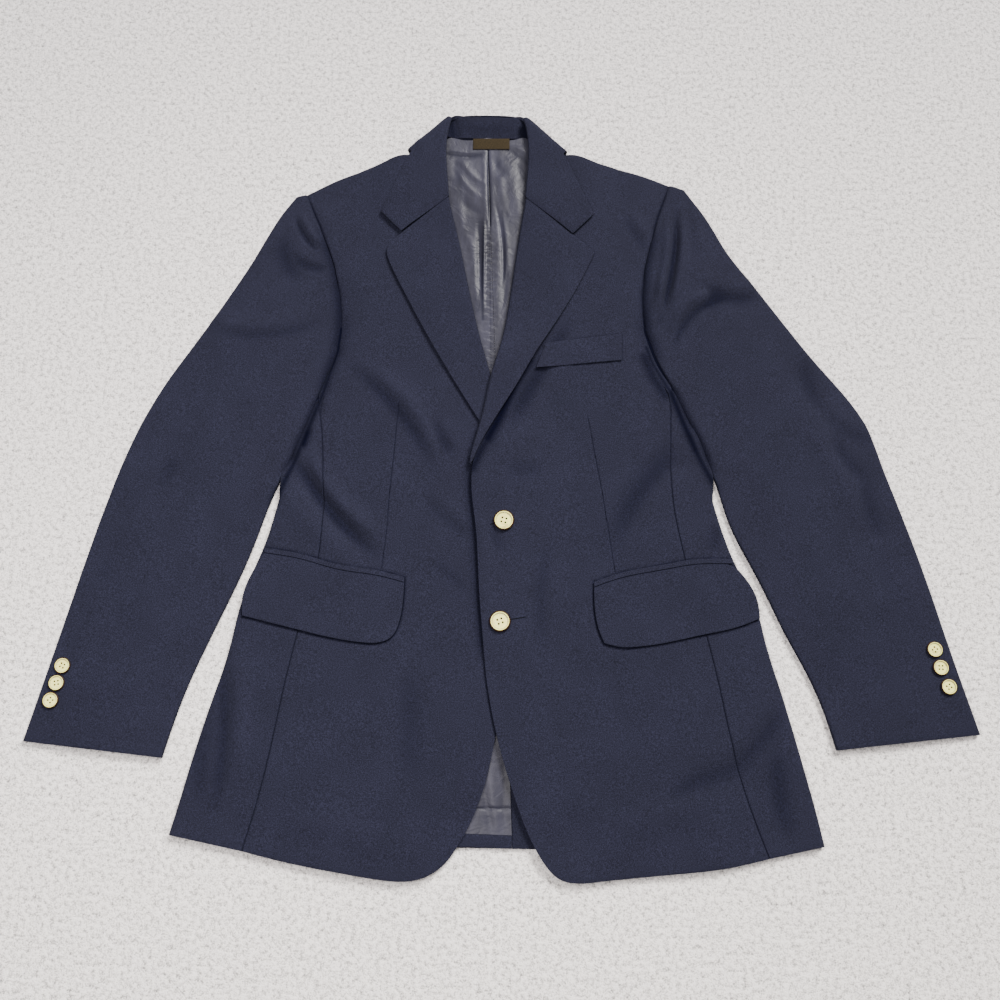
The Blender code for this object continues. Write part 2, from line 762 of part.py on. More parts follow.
def make_lining(side, material, group):
    columns, rows = BACK_COLUMNS, BODY_ROWS
    outer, top = back_outer(side, LINING_INSET), back_top(side, LINING_INSET)
    beside = Vector((side.sign * GAP / 2, 0))
    foot = HEM_TURN + GAP
    middle = top(0) + beside
    bottom = hem_line(CENTRE_HEM[0] + beside.x, foot)
    vent_edge = CENTRE_HEM[0] + VENT_WIDTH + GAP
    corner = hem_line(outer(1.0).x, foot)

    def inner(share):
        place = middle.lerp(bottom, share)
        if side.sign > 0:
            place.x += (vent_edge - place.x) * ease(place.y, *VENT_LINING_Y)
        return place

    def outside(share):
        settled = max(0.0, share - 0.9) * 10
        return outer(share).lerp(corner, settled)

    surface = patch(
        lambda u: top(u) + beside * (1 - u),
        lambda u: hem_line(inner(1.0).lerp(corner, u).x, foot),
        inner,
        outside,
    )
    place = on_level(surface, lining_level, columns, rows)
    sheet(side.name + "_back_lining", columns, rows, place, LINING, material, group)


def make_hem(side, material, group):
    """The turned-up hem of a back half, seen from inside."""
    inner = CENTRE_HEM[0] + side.sign * GAP / 2
    if side.sign > 0:
        inner += VENT_WIDTH + GAP
    outer = back_outer(side, LINING_INSET)(1.0).x

    def place(column, row):
        flat = hem_line(inner + (outer - inner) * column / HEM_COLUMNS, HEM_TURN * row)
        return flat.x, flat.y, LINING_LEVEL

    sheet(side.name + "_back_hem", HEM_COLUMNS, 1, place, LINING, material, group)


def make_vent(material, group):
    """The turned edge of the left back along the vent, seen from inside."""

    def place(column, row):
        y = BACK_HEM_Y + (VENT_TOP - BACK_HEM_Y) * row / VENT_ROWS
        x = CENTRE_HEM[0] + GAP + (VENT_WIDTH - GAP) * column / VENT_COLUMNS
        return x, y, LINING_LEVEL

    sheet("back_vent", VENT_COLUMNS, VENT_ROWS, place, LINING, material, group)


def make_lapel(side, material, group):
    arc = ARC_STEPS + 1
    tops = LEAF_COLUMNS
    rows = len(side.lapel) - 1

    def place(column, row):
        section = side.lapel[row]
        roll = Vector((section.roll_x, section.roll_y))
        edge = Vector((section.edge_x, section.edge_y))
        across = edge - roll
        width = across.length
        across.normalize()
        radius = section.radius
        base = side.level(*roll)
        if column <= arc:
            angle = math.radians(-90 + 180 * column / arc)
            flat = roll + across * (CLOTH / 2 + radius * (1 - math.cos(angle)))
            return flat.x, flat.y, base + radius * (1 + math.sin(angle))
        share = (column - arc) / tops
        start = CLOTH / 2 + radius
        flat = roll + across * (start + (width - start) * share)
        rest = LAYER + EASE_GAP + section.lift
        rise = 2 * radius + (rest - 2 * radius) * ease(share, 0.0, 1.0)
        return flat.x, flat.y, side.level(flat.x, flat.y) + max(rise, LAYER + EASE_GAP / 2)

    sheet(side.name + "_lapel", arc + tops, rows, place, CLOTH, material, group)


def collar_rows():
    """Sections of the collar from the right tip round the back to the left tip."""
    Section = namedtuple("Section", "fold leaf turn side")
    rows = []
    for side in (-1, 1):
        half = []
        for row in COLLAR_FRONT:
            half.append((row, 0))
        for turn in COLLAR_BEND:
            half.append((COLLAR_FRONT[-1], turn))
        for row in COLLAR_BACK:
            half.append((row, 180))
        made = [
            Section(
                Vector((side * row.fold_x, row.fold_y)),
                Vector((side * row.leaf_x, row.leaf_y)),
                turn,
                side,
            )
            for row, turn in half
        ]
        rows += made if side < 0 else list(reversed(made))[1:]
    return rows


def collar_point(section, along, height, spot=None):
    """A point of the collar: along runs from the fold to the leaf edge, or spot gives the
    place in plan. The height is measured from the middle between stand and fall, towards
    the outer face."""
    across = section.leaf - section.fold
    across.normalize()
    flat = section.fold + across * along
    if spot is not None:
        flat = spot
    outward = Vector((section.side * SHOULDER_WAY[0], SHOULDER_WAY[1]))
    turn = math.radians(section.turn)
    x = COLLAR_CENTRE + flat.x
    y = flat.y + COLLAR_TILT * flat.x
    side = SIDES[0] if section.side < 0 else SIDES[1]
    front = side.level(x, y) + LAYER + EASE_GAP + COLLAR_RADIUS
    back = CLOTH / 2 + COLLAR_BACK_RADIUS
    bend = (front - back) / 2
    level = (front + back) / 2 + bend * math.cos(turn)
    out = outward * (math.sin(turn) * (bend + height))
    return x + out.x, y + out.y, level + height * math.cos(turn)


def make_collar(material, group):
    sections = collar_rows()
    arc = ARC_STEPS
    tops = LEAF_COLUMNS

    def radius_of(section):
        share = ease(section.turn, 0, 180)
        return COLLAR_RADIUS + (COLLAR_BACK_RADIUS - COLLAR_RADIUS) * share

    def fall(column, row):
        section = sections[row]
        radius = radius_of(section)
        width = (section.leaf - section.fold).length
        if column <= arc:
            angle = math.radians(-90 + 180 * column / arc)
            first = CLOTH / 2 + radius * (1 - math.cos(angle))
            return collar_point(section, first, radius * math.sin(angle))
        share = (column - arc) / tops
        start = CLOTH / 2 + radius
        if row in (0, len(sections) - 1):
            notch = Vector((section.side * NOTCH_X, NOTCH_Y))
            if share < NOTCH_SHARE:
                flat = section.fold.lerp(notch, (share * tops + 0.3) / (NOTCH_SHARE * tops + 0.3))
            else:
                flat = notch.lerp(section.leaf, (share - NOTCH_SHARE) / (1 - NOTCH_SHARE))
            return collar_point(section, 0.0, radius - TIP_SETTLE * ease(share, 0.3, 1.0), flat)
        along = start + (width - start) * share
        settle = TIP_SETTLE * ease(share, 0.3, 1.0) * (1 - ease(section.turn, 0, 45))
        return collar_point(section, along, radius - settle)

    sheet("collar_fall", arc + tops, len(sections) - 1, fall, CLOTH, material, group)

    middle = sections[1:-1]

    def stand(column, row):
        section = middle[row]
        radius = radius_of(section)
        slant = ease(section.fold.y, *STAND_SLANT_Y) * ease(abs(section.fold.x), *STAND_SLANT_X)
        start = CLOTH / 2 + radius + GAP + EASE_GAP + TURN_GAP * slant
        share = column / 3
        along = start + (STAND_HEIGHT - start) * share
        sink = (COLLAR_BACK_RADIUS - 0.5) * ease(section.turn, 90, 180) * share
        return collar_point(section, along, -radius + sink)

    sheet("collar_stand", 3, len(middle) - 1, stand, CLOTH, material, group)


def on_panel(side, lift):
    return lambda x, y: side.level(x, y) + lift


def make_pocket(side, material, group):
    columns, rows = FLAP_COLUMNS, 4
    rest = CLOTH / 2 + GAP
    top = Line(side.flap_top).at
    surface = patch(top, Line(side.flap_hem).at, Line(side.flap_inner).at, Line(side.flap_outer).at)
    place = on_level(surface, on_panel(side, rest + FLAP / 2), columns, rows)
    sheet(side.name + "_pocket_flap", columns, rows, place, FLAP, material, group)

    def jet(column, row):
        flat = top(column / columns) + Vector((0, 2 * GAP + JET_WIDTH * row))
        return flat.x, flat.y, side.level(flat.x, flat.y) + rest + JET / 2

    sheet(side.name + "_pocket_jet", columns, 1, jet, JET, material, group)


def make_welt(side, material, group):
    columns = 4
    inner, outer = WELT_ENDS

    def place(column, row):
        top = Vector((inner.top_x, inner.top_y)).lerp(Vector((outer.top_x, outer.top_y)), column / columns)
        low = Vector((inner.low_x, inner.low_y)).lerp(Vector((outer.low_x, outer.low_y)), column / columns)
        flat = top.lerp(low, row / 2)
        return flat.x, flat.y, side.level(flat.x, flat.y) + CLOTH / 2 + GAP + WELT / 2

    sheet("breast_welt", columns, 2, place, WELT, material, group)


def make_label(material, group):

    def place(column, row):
        x = LABEL_CORNER[0] + LABEL_WIDTH * column / LABEL_COLUMNS
        y = LABEL_CORNER[1] + LABEL_HEIGHT * row
        return x, y, lining_level(x, y) + LINING / 2 + GAP + LABEL / 2

    sheet("neck_label", LABEL_COLUMNS, 1, place, LABEL, material, group)


def button_mesh(name, diameter):
    """A dished button: its profile runs down the outer side, from the well to the foot."""
    mesh = bpy.data.meshes.new(name)
    tall = diameter / FRONT_BUTTON * MM
    points = [(row.share * diameter / 2 * MM, 0.0, row.height * tall) for row in BUTTON_PROFILE]
    edges = [(index, index + 1) for index in range(len(points) - 1)]
    mesh.from_pydata(points, edges, [])
    return mesh


def make_button(row, place, material, group, cutters):
    made = add_object(row.name, button_mesh(row.name, row.diameter), material, group)
    made.location = Vector(place) * MM
    screw = made.modifiers.new("turned", "SCREW")
    screw.steps = BUTTON_STEPS
    screw.render_steps = BUTTON_STEPS
    screw.use_merge_vertices = True
    screw.merge_threshold = 0.00001
    cutter_mesh = bpy.data.meshes.new(row.name + "_holes")
    holes = bmesh.new()
    for index in range(4):
        angle = math.radians(HOLE_TURN + 90 * index)
        spread = HOLE_SPREAD * row.diameter * MM
        spot = Vector((math.cos(angle) * spread, math.sin(angle) * spread, 0.0))
        made_hole = bmesh.ops.create_cone(
            holes, cap_ends=True, segments=6, radius1=HOLE_RADIUS * MM,
            radius2=HOLE_RADIUS * MM, depth=12 * MM,
        )
        bmesh.ops.translate(holes, verts=made_hole["verts"], vec=spot)
    holes.to_mesh(cutter_mesh)
    holes.free()
    cutter = bpy.data.objects.new(row.name + "_holes", cutter_mesh)
    cutters.objects.link(cutter)
    cutter.location = made.location
    cutter.hide_render = True
    cutter.display_type = "WIRE"
    cut = made.modifiers.new("holes", "BOOLEAN")
    cut.operation = "DIFFERENCE"
    cut.object = cutter


def sleeve_spot(side, x, y):
    """The height of the topsleeve's upper face nearest to a point."""
    best = None
    for step in range(SPOT_ROWS + 1):
        row = ARMHOLE_ROWS + SLEEVE_ROWS * step / SPOT_ROWS
        for part in range(SPOT_COLUMNS + 1):
            share = part / SPOT_COLUMNS
            flat = sleeve_place(side, row, share)[0]
            distance = (flat - Vector((x, y))).length
            if best is None or distance < best[0]:
                best = (distance, sleeve_level(side, row, share, flat))
    return best[1] + CLOTH / 2


def middle_of_base(group):
    """The point under the middle of everything made, at the height of its lowest point."""
    bpy.context.view_layer.update()
    depsgraph = bpy.context.evaluated_depsgraph_get()
    corners = []
    for made in group.objects:
        shape = made.evaluated_get(depsgraph)
        corners += [made.matrix_world @ Vector(corner) for corner in shape.bound_box]
    low = Vector([min(corner[axis] for corner in corners) for axis in range(3)])
    high = Vector([max(corner[axis] for corner in corners) for axis in range(3)])
    return Vector(((low.x + high.x) / 2, (low.y + high.y) / 2, low.z))


def main():
    clear_scene()
    garment = collection("single_breasted_blazer")
    cutters = collection("cutters")
    cloth = finish_of("navy_wool", NAVY, 0.85)
    satin = finish_of("grey_satin", SATIN, 0.4)
    woven = finish_of("olive_label", OLIVE, 0.8)
    horn = finish_of("pale_horn", HORN, 0.35)
    for side in SIDES:
        make_back(side, cloth, garment)
        make_hem(side, cloth, garment)
        make_lining(side, satin, garment)
        make_front(side, cloth, garment)
        make_side(side, cloth, garment)
        make_lapel(side, cloth, garment)
        make_sleeve(side, cloth, garment)
        make_undersleeve(side, cloth, garment)
        make_pocket(side, cloth, garment)
    make_vent(cloth, garment)
    make_collar(cloth, garment)
    make_welt(SIDES[1], cloth, garment)
    make_label(woven, garment)
    for row in BUTTONS:
        level = max(left_level(row.x + dx, row.y) for dx in (-9, 0, 9))
        make_button(row, (row.x, row.y, level + CLOTH / 2 + GAP), horn, garment, cutters)
    for row in CUFF_BUTTONS:
        side = SIDES[0] if row.x < 0 else SIDES[1]
        height = max(sleeve_spot(side, row.x + dx, row.y) for dx in (-7, 0, 7))
        make_button(row, (row.x, row.y, height + GAP), horn, garment, cutters)
    shift = middle_of_base(garment)
    for made in list(garment.objects) + list(cutters.objects):
        made.location -= shift
    print("blazer:", len(garment.objects), "pieces, moved by", shift)


main()
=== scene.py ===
"""Single breasted blazer, laid out flat: its cloth, lining, buttons and hand sewing.

Runs as a script in Blender 4.5 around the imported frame. Sizes in the tables are millimetres of the
garment's own pattern: the lower front button is at (0, 251) and +Y runs up to the collar.
Left and right are the wearer's, so the left front and left sleeve lie on the +X side.
"""

import json
import math
from collections import namedtuple

import bmesh
import bpy
import numpy as np
from bpy.props import FloatProperty, FloatVectorProperty, IntProperty, PointerProperty
from mathutils import Matrix, Vector
from mathutils.bvhtree import BVHTree
from mathutils.kdtree import KDTree

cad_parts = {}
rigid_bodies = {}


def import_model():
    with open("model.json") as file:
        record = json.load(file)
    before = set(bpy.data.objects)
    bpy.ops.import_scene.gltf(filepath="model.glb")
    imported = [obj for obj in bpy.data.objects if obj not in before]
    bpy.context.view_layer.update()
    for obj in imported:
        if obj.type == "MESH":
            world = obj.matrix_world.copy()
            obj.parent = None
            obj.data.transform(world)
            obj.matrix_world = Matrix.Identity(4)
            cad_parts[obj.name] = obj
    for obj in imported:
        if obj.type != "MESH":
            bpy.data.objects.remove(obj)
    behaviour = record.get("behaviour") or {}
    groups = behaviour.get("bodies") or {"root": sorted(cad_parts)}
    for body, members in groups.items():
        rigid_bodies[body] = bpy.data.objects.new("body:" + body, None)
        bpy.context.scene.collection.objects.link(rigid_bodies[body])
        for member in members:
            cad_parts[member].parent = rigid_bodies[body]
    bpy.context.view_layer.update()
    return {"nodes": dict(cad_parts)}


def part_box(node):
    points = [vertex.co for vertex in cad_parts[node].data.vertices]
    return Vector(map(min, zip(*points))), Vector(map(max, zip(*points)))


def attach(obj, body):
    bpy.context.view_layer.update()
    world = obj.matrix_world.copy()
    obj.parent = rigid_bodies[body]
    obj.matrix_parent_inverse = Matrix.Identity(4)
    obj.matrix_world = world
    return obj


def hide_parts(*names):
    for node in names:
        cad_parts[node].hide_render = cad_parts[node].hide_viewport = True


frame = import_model()

bl_info = {
    "name": "Single breasted blazer",
    "version": (1, 0, 0),
    "blender": (4, 5, 0),
    "location": "3D View > Sidebar > Blazer",
    "description": "Navy wool blazer laid out flat, with its lining, buttons and hand sewing",
    "category": "Mesh",
}

MM = 0.001

# ---------------------------------------------------------------- where the pattern lies

LOWER_BUTTON = (0.0, 251.0)  # the lower front button's place on the pattern


def pattern_origin():
    """The pattern's zero point in the row's frame, from the lower button and the back panel."""
    low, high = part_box("front_button_lower")
    x = (low.x + high.x) / 2 - LOWER_BUTTON[0] * MM
    y = (low.y + high.y) / 2 - LOWER_BUTTON[1] * MM
    return Vector((x, y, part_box("right_back")[0].z))


ORIGIN = pattern_origin()


def place(x, y, z=0.0):
    """A point of the pattern, in millimetres, as a point of the scene."""
    return ORIGIN + Vector((x, y, z)) * MM


# ---------------------------------------------------------------- creases

# centre x and y, heading in degrees, half length, half width, height (minus for a trough), and how
# far its ends curve to the left of its heading
Crease = namedtuple("Crease", "x y heading length width height bend")

BODY_CREASES = (
    Crease(-181, 371, -51, 64, 6.5, -1.9, 7),
    Crease(-171, 382, -51, 58, 8.5, 2.8, 7),
    Crease(-196, 352, -48, 50, 12, 1.4, 5),
    Crease(-109, 478, -51, 62, 8, -1.5, -6),
    Crease(-98, 487, -50, 52, 9, 1.5, -6),
    Crease(-64, 448, -60, 22, 7, -1.2, 0),
    Crease(-55, 357, -41, 32, 7, -0.6, 2),
    Crease(-48, 366, -41, 32, 9, 0.7, 2),
    Crease(-51, 297, -40, 22, 6, -0.5, 0),
    Crease(-272, 143, -89, 66, 7, -1.3, -5),
    Crease(-258, 158, -88, 60, 10, 1.8, -5),
    Crease(-293, 116, -93, 38, 8, -0.7, 3),
    Crease(-89, 149, -88, 46, 12, -0.6, 0),
    Crease(152, 688, -61, 24, 6, -0.8, 2),
    Crease(161, 693, -61, 24, 8, 0.8, 2),
    Crease(153, 393, -127, 66, 14, -1.4, 8),
    Crease(170, 379, -127, 60, 16, 1.2, 8),
    Crease(202, 439, -110, 20, 12, 2.2, 0),
    Crease(222, 336, -100, 14, 7, -0.8, 0),
    Crease(26, 411, 4, 18, 9, -0.6, 0),
    Crease(-5, 336, -60, 14, 7, -0.6, 0),
    Crease(43, 279, -94, 48, 8, -0.7, 4),
    Crease(55, 279, -94, 46, 10, 0.6, 4),
    Crease(200, 97, 22, 40, 9, -1.0, -4),
    Crease(256, 135, 48, 36, 9, -1.2, 3),
    Crease(244, 146, 46, 46, 12, 1.6, 3),
    Crease(271, 83, -86, 36, 9, -1.1, 3),
    Crease(150, 60, 14, 50, 14, 0.9, 6),
    Crease(-150, 50, -12, 60, 14, 0.8, -6),
)

# only the left front: the hollow beside its lapel, and the lift of its front edge
LEFT_FRONT_CREASES = (
    Crease(44, 522, -120, 62, 10, -1.8, 0),
    Crease(72, 540, -118, 60, 14, 0.9, 0),
    Crease(-19, 330, -86, 90, 8, 0.7, 3),
)

RIGHT_SLEEVE_CREASES = (
    Crease(-221, 686, -58, 22, 2.8, -1.4, 3),
    Crease(-214, 692, -58, 22, 4, 1.4, 3),
    Crease(-213, 648, -20, 18, 6, -1.2, 4),
    Crease(-240, 656, -70, 26, 10, -1.1, 4),
    Crease(-257, 566, 4, 52, 7, -1.0, 9),
    Crease(-262, 577, 5, 50, 10, 1.1, 9),
    Crease(-352, 405, -118, 22, 9, -0.8, 0),
    Crease(-402, 312, -114, 22, 9, -0.8, 3),
    Crease(-380, 350, -117, 60, 14, 0.9, 0),
    Crease(-300, 470, -125, 60, 16, 0.9, 6),
    Crease(-420, 230, -110, 50, 12, 0.8, -4),
)

LEFT_SLEEVE_CREASES = (
    Crease(192, 645, -101, 60, 3.6, -2.6, -4),
    Crease(183, 648, -101, 50, 5, 2.0, -4),
    Crease(202, 650, -99, 54, 6, 2.6, -4),
    Crease(178, 610, -92, 22, 5, 1.6, 0),
    Crease(223, 694, -87, 27, 9, 1.2, 0),
    Crease(210, 588, 46, 36, 4.5, -1.6, -8),
    Crease(204, 600, 46, 32, 6, 2.0, -8),
    Crease(238, 616, 66, 22, 10, -1.2, 0),
    Crease(254, 610, -8, 26, 9, -1.5, 4),
    Crease(252, 626, -8, 26, 10, 1.1, 4),
    Crease(334, 504, -71, 29, 9, -0.9, 4),
    Crease(368, 455, -34, 34, 8, -0.7, 9),
    Crease(366, 468, -32, 34, 9, 0.8, 9),
    Crease(365, 423, -58, 26, 8, -1.0, 4),
    Crease(386, 368, -77, 34, 10, -0.8, 4),
    Crease(350, 420, -66, 60, 14, 0.8, 0),
    Crease(410, 290, -70, 50, 13, 0.8, 4),
)

LAPEL_CREASES = (
    Crease(-72, 600, -78, 70, 16, 0.8, 6),
    Crease(60, 590, -108, 70, 18, 0.9, -6),
    Crease(40, 520, -112, 40, 14, 0.7, 0),
)

COLLAR_CREASES = (
    Crease(-95, 812, -70, 30, 10, 0.8, 0),
    Crease(92, 806, -112, 30, 10, 0.8, 0),
)

STAND_CREASES = (
    Crease(-53, 826, -80, 18, 6, -1.6, 0),
    Crease(27, 826, -100, 18, 6, -1.6, 0),
    Crease(-13, 830, 0, 26, 8, 0.9, 0),
)

# the satin: yoke line, centre pleat that opens into a stitched seam, and soft folds beside it
LINING_CREASES = (
    Crease(-38, 791, 9, 22, 1.6, 0.9, 0),
    Crease(-45, 786, 6, 18, 3.0, -1.3, 0),
    Crease(21, 793, -36, 15, 1.8, 0.9, 0),
    Crease(20, 785, -36, 14, 4.0, -0.9, 0),
    Crease(-12.6, 749, -88.4, 46, 1.5, -1.9, 0),
    Crease(-17.5, 748, -88.4, 44, 2.4, 0.5, 0),
    Crease(1, 752, -84, 34, 4.0, 0.6, 2),
    Crease(-32, 764, -48, 20, 3.6, 0.9, 3),
    Crease(-40, 754, -56, 24, 3.4, 0.8, 2),
    Crease(-50, 772, -80, 10, 5.0, -1.1, 0),
    Crease(-34, 722, -40, 14, 6.0, -1.1, 4),
    Crease(-42, 700, -75, 26, 5.0, 0.8, 2),
    Crease(-2, 774, -70, 12, 5.0, -1.1, 0),
    Crease(23, 768, -75, 12, 5.0, -1.0, 0),
    Crease(18, 734, -82, 26, 5.0, 0.7, 0),
    Crease(-18, 655, -90, 50, 1.6, 1.6, 0),
    Crease(-23, 660, -89, 40, 3.0, -1.6, 0),
    Crease(-29, 640, -86, 50, 4.0, 0.5, 0),
    Crease(3, 676, -86, 44, 1.8, -1.5, -3),
    Crease(8, 668, -88, 42, 3.2, 0.6, -3),
    Crease(-3, 640, -90, 50, 4.0, 0.5, 0),
    Crease(6, 624, -96, 20, 2.4, -0.9, 0),
    Crease(-8, 92, -84, 50, 5.0, 0.8, 2),
    Crease(-16, 88, -80, 46, 4.0, -0.8, 2),
    Crease(4, 96, -92, 40, 4.0, -0.7, 0),
    Crease(-6, 70, 0, 24, 1.4, -0.9, 0),
    Crease(-6, 64, 0, 24, 3.0, 0.2, 0),
)

# painted shade along a line: how far it spreads, how dark it is at most, and the line it follows
ShadeLine = namedtuple("ShadeLine", "width dark line")

LINING_FOLD_SHADES = (
    ShadeLine(1.2, 0.75, ((-14, 796), (-12.6, 749), (-11.3, 701))),
    ShadeLine(3.6, 0.40, ((-62, 785), (-40, 787), (-22, 790))),
    ShadeLine(3.0, 0.30, ((6, 797), (18, 788), (30, 778))),
    ShadeLine(1.5, 0.60, ((-14, 706), (-18, 698), (-20, 633), (-18.7, 585))),
    ShadeLine(5.0, 0.36, ((-22, 704), (-25, 650), (-23, 596))),
    ShadeLine(1.4, 0.50, ((2.3, 718), (5.6, 683), (5.6, 643), (3.3, 609))),
    ShadeLine(4.0, 0.25, ((8, 716), (11, 680), (9, 640))),
    ShadeLine(0.8, 0.45, ((-11.9, 698), (-9.8, 528))),
    ShadeLine(7.0, 0.22, ((-52, 776), (-40, 724))),
    ShadeLine(6.0, 0.25, ((-2, 778), (4, 766))),
    ShadeLine(0.9, 0.45, ((-40, 70), (26, 71))),
)

# painted shade inside the collar stand, darkest at its ends under the fall
STAND_SHADES = (
    ShadeLine(60, 0.20, ((-30, 825), (10, 825))),
    ShadeLine(7, 0.65, ((-58, 840), (-55, 812))),
    ShadeLine(7, 0.65, ((31, 840), (29, 812))),
)

ALLOWANCE_SHADE = 0.9  # painted shade: the seam allowance is painted nearly black, as it lies in the armhole's shade

# painted shadow under the left lapel's outer edge, on the left front
LAPEL_SHADES = (
    ShadeLine(5.0, 0.60, ((58, 588), (44, 562), (31, 535))),
    ShadeLine(6.5, 0.92, ((31, 535), (16, 508), (-1, 468), (-13, 445))),
    ShadeLine(5.0, 0.70, ((-13, 445), (-22, 428), (-29, 412))),
)

# painted shadows where the sleeves meet the body: along the lower armholes and down the side seams
ARM_SHADES = {
    "right": (
        ShadeLine(2.4, 0.80, ((-176, 556), (-178, 545), (-183, 527), (-188, 508), (-194, 489))),
        ShadeLine(6.5, 0.60, ((-178, 548), (-184, 529), (-190, 506))),
        ShadeLine(5.0, 0.92, ((-205, 455), (-209, 440))),
        ShadeLine(3.5, 0.75, ((-194, 489), (-212, 437), (-221, 412), (-231, 386))),
        ShadeLine(5.0, 0.92, ((-233, 388), (-236, 378))),
    ),
    "left": (
        ShadeLine(2.4, 0.75, ((160, 552), (166, 533), (175, 516), (184, 499))),
        ShadeLine(7.0, 0.60, ((158, 540), (166, 516), (178, 496))),
        ShadeLine(4.5, 0.88, ((184, 499), (194, 470), (207, 432))),
        ShadeLine(4.0, 0.80, ((207, 432), (221, 403), (227, 392))),
    ),
}

PUCKER_LINE = -11.0  # the centre seam of the lining puckers on both sides of this x
PUCKER_LOW = 510.0
PUCKER_HIGH = 700.0


def pucker_height(x, y):
    """The small ripples that a tight stitched seam draws into satin, in millimetres."""
    beside = np.exp(-(((x - PUCKER_LINE) / 5.0) ** 2))
    along = np.clip((y - PUCKER_LOW) / 20, 0, 1) * np.clip((PUCKER_HIGH - y) / 20, 0, 1)
    ripple = np.sin(y * 1.15 + 1.6 * np.sin(y * 0.31)) + 0.6 * np.sin(y * 0.62 + x * 0.35)
    return 0.42 * beside * along * ripple


NO_CREASES = ()


def crease_height(creases, x, y):
    """How far the cloth rises at each x and y, in millimetres, from a table of creases."""
    total = np.zeros_like(x)
    for crease in creases:
        angle = math.radians(crease.heading)
        along = (x - crease.x) * math.cos(angle) + (y - crease.y) * math.sin(angle)
        across = (y - crease.y) * math.cos(angle) - (x - crease.x) * math.sin(angle)
        across = across - crease.bend * (along / crease.length) ** 2
        fade = np.exp(-((across / crease.width) ** 2) - (along / crease.length) ** 4)
        total = total + crease.height * fade
    return total


# direction in degrees, wave length, height and phase of the long soft waves of laid cloth
Wave = namedtuple("Wave", "heading length height phase")

CLOTH_WAVES = (
    Wave(12, 173, 0.35, 0.4),
    Wave(64, 131, 0.30, 2.1),
    Wave(118, 97, 0.22, 4.0),
    Wave(-35, 71, 0.16, 1.3),
    Wave(88, 53, 0.10, 5.2),
    Wave(31, 41, 0.07, 3.3),
)


def wave_height(x, y):
    """The slight unevenness of cloth that lies on cloth, in millimetres."""
    total = np.zeros_like(x)
    for wave in CLOTH_WAVES:
        angle = math.radians(wave.heading)
        along = x * math.cos(angle) + y * math.sin(angle)
        total = total + wave.height * np.sin(2 * math.pi * along / wave.length + wave.phase)
    return total


FOLD_FOOT = 2.2  # cloth below this height lies on the table and stays flat
FOLD_FULL = 4.4  # cloth above this height takes its creases in full
MIN_DROP = -2.0  # cloth sinks no further than this into what it lies on


PAINTED_SHADE = "painted_shade"  # painted shade: the point attribute that darkens cloth in hollows, seams and at cut edges
HOLLOW_SHADE = 0.17  # painted shade: how much darker each millimetre of depth paints a hollow
HOLLOW_SHADE_MOST = 0.60
STILL_REACH = 15.0  # cloth lies still within about this many millimetres of a button


def button_spots():
    """Where the buttons sit on the pattern."""
    spots = []
    for node in frame["nodes"]:
        if "button" in node:
            low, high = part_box(node)
            spots.append(((low + high) / 2 - ORIGIN) / MM)
    return spots


BUTTON_SPOTS = button_spots()


def add_creases(
    piece, creases, waves=1.0, foot=FOLD_FOOT, full=FOLD_FULL, extra=None, gain=None, drop=MIN_DROP
):
    """Moves a piece's points up or down by its creases."""
    mesh = piece.data
    points = np.empty(len(mesh.vertices) * 3)
    mesh.vertices.foreach_get("co", points)
    points = points.reshape(-1, 3)
    local = (points - np.array(ORIGIN)) / MM
    x, y, z = local[:, 0], local[:, 1], local[:, 2]
    if gain is None:
        gain = bpy.context.scene.blazer_cloth.crease_gain
    folds = gain * crease_height(creases, x, y)
    rise = folds + waves * wave_height(x, y)
    if extra:
        rise = rise + extra(x, y)
    for spot in BUTTON_SPOTS:
        away = (x - spot.x) ** 2 + (y - spot.y) ** 2
        rise = rise * (1 - np.exp(-away / STILL_REACH**2))
    share = np.clip((z - foot) / (full - foot), 0.0, 1.0)
    share = share * share * (3.0 - 2.0 * share)
    points[:, 2] += np.maximum(rise, drop) * share * MM
    mesh.vertices.foreach_set("co", points.ravel())
    mesh.update()
    # paints shade into the troughs: the deeper the trough, the darker
    paint_shade(piece, slice(None), np.clip(-folds * HOLLOW_SHADE, 0, HOLLOW_SHADE_MOST) * share)


# ---------------------------------------------------------------- making pieces

MERGE = 0.01 * MM
PAIRING = math.radians(60)
RIM_ANGLE = math.radians(50)
SMOOTH_ANGLE = math.radians(40)


def only(*pieces):
    """Selects these pieces alone and makes the first one active."""
    if bpy.context.object and bpy.context.object.mode != "OBJECT":
        bpy.ops.object.mode_set(mode="OBJECT")
    bpy.ops.object.select_all(action="DESELECT")
    for piece in pieces:
        piece.select_set(True)
    bpy.context.view_layer.objects.active = pieces[0]


def apply_modifier(piece, kind, **settings):
    """Adds a modifier with these settings and applies it."""
    only(piece)
    modifier = piece.modifiers.new(kind.title(), kind)
    for name, value in settings.items():
        setattr(modifier, name, value)
    bpy.ops.object.modifier_apply(modifier=modifier.name)


def node_copy(node, name):
    """A copy of a node's solid, its loose triangles merged and paired into quads."""
    mesh = frame["nodes"][node].data.copy()
    mesh.materials.clear()
    piece = bpy.data.objects.new(name, mesh)
    mesh.name = name
    bpy.context.scene.collection.objects.link(piece)
    only(piece)
    bpy.ops.object.mode_set(mode="EDIT")
    bpy.ops.mesh.select_all(action="SELECT")
    bpy.ops.mesh.remove_doubles(threshold=MERGE)
    bpy.ops.mesh.tris_convert_to_quads(face_threshold=PAIRING, shape_threshold=PAIRING)
    bpy.ops.object.mode_set(mode="OBJECT")
    return piece


def crease_rims(piece):
    """Marks a wall's cut edges so that subdivision keeps them."""
    shape = bmesh.new()
    shape.from_mesh(piece.data)
    weight = shape.edges.layers.float.new("crease_edge")
    for edge in shape.edges:
        if len(edge.link_faces) == 2 and edge.calc_face_angle() > RIM_ANGLE:
            edge[weight] = 1.0
    shape.to_mesh(piece.data)
    shape.free()


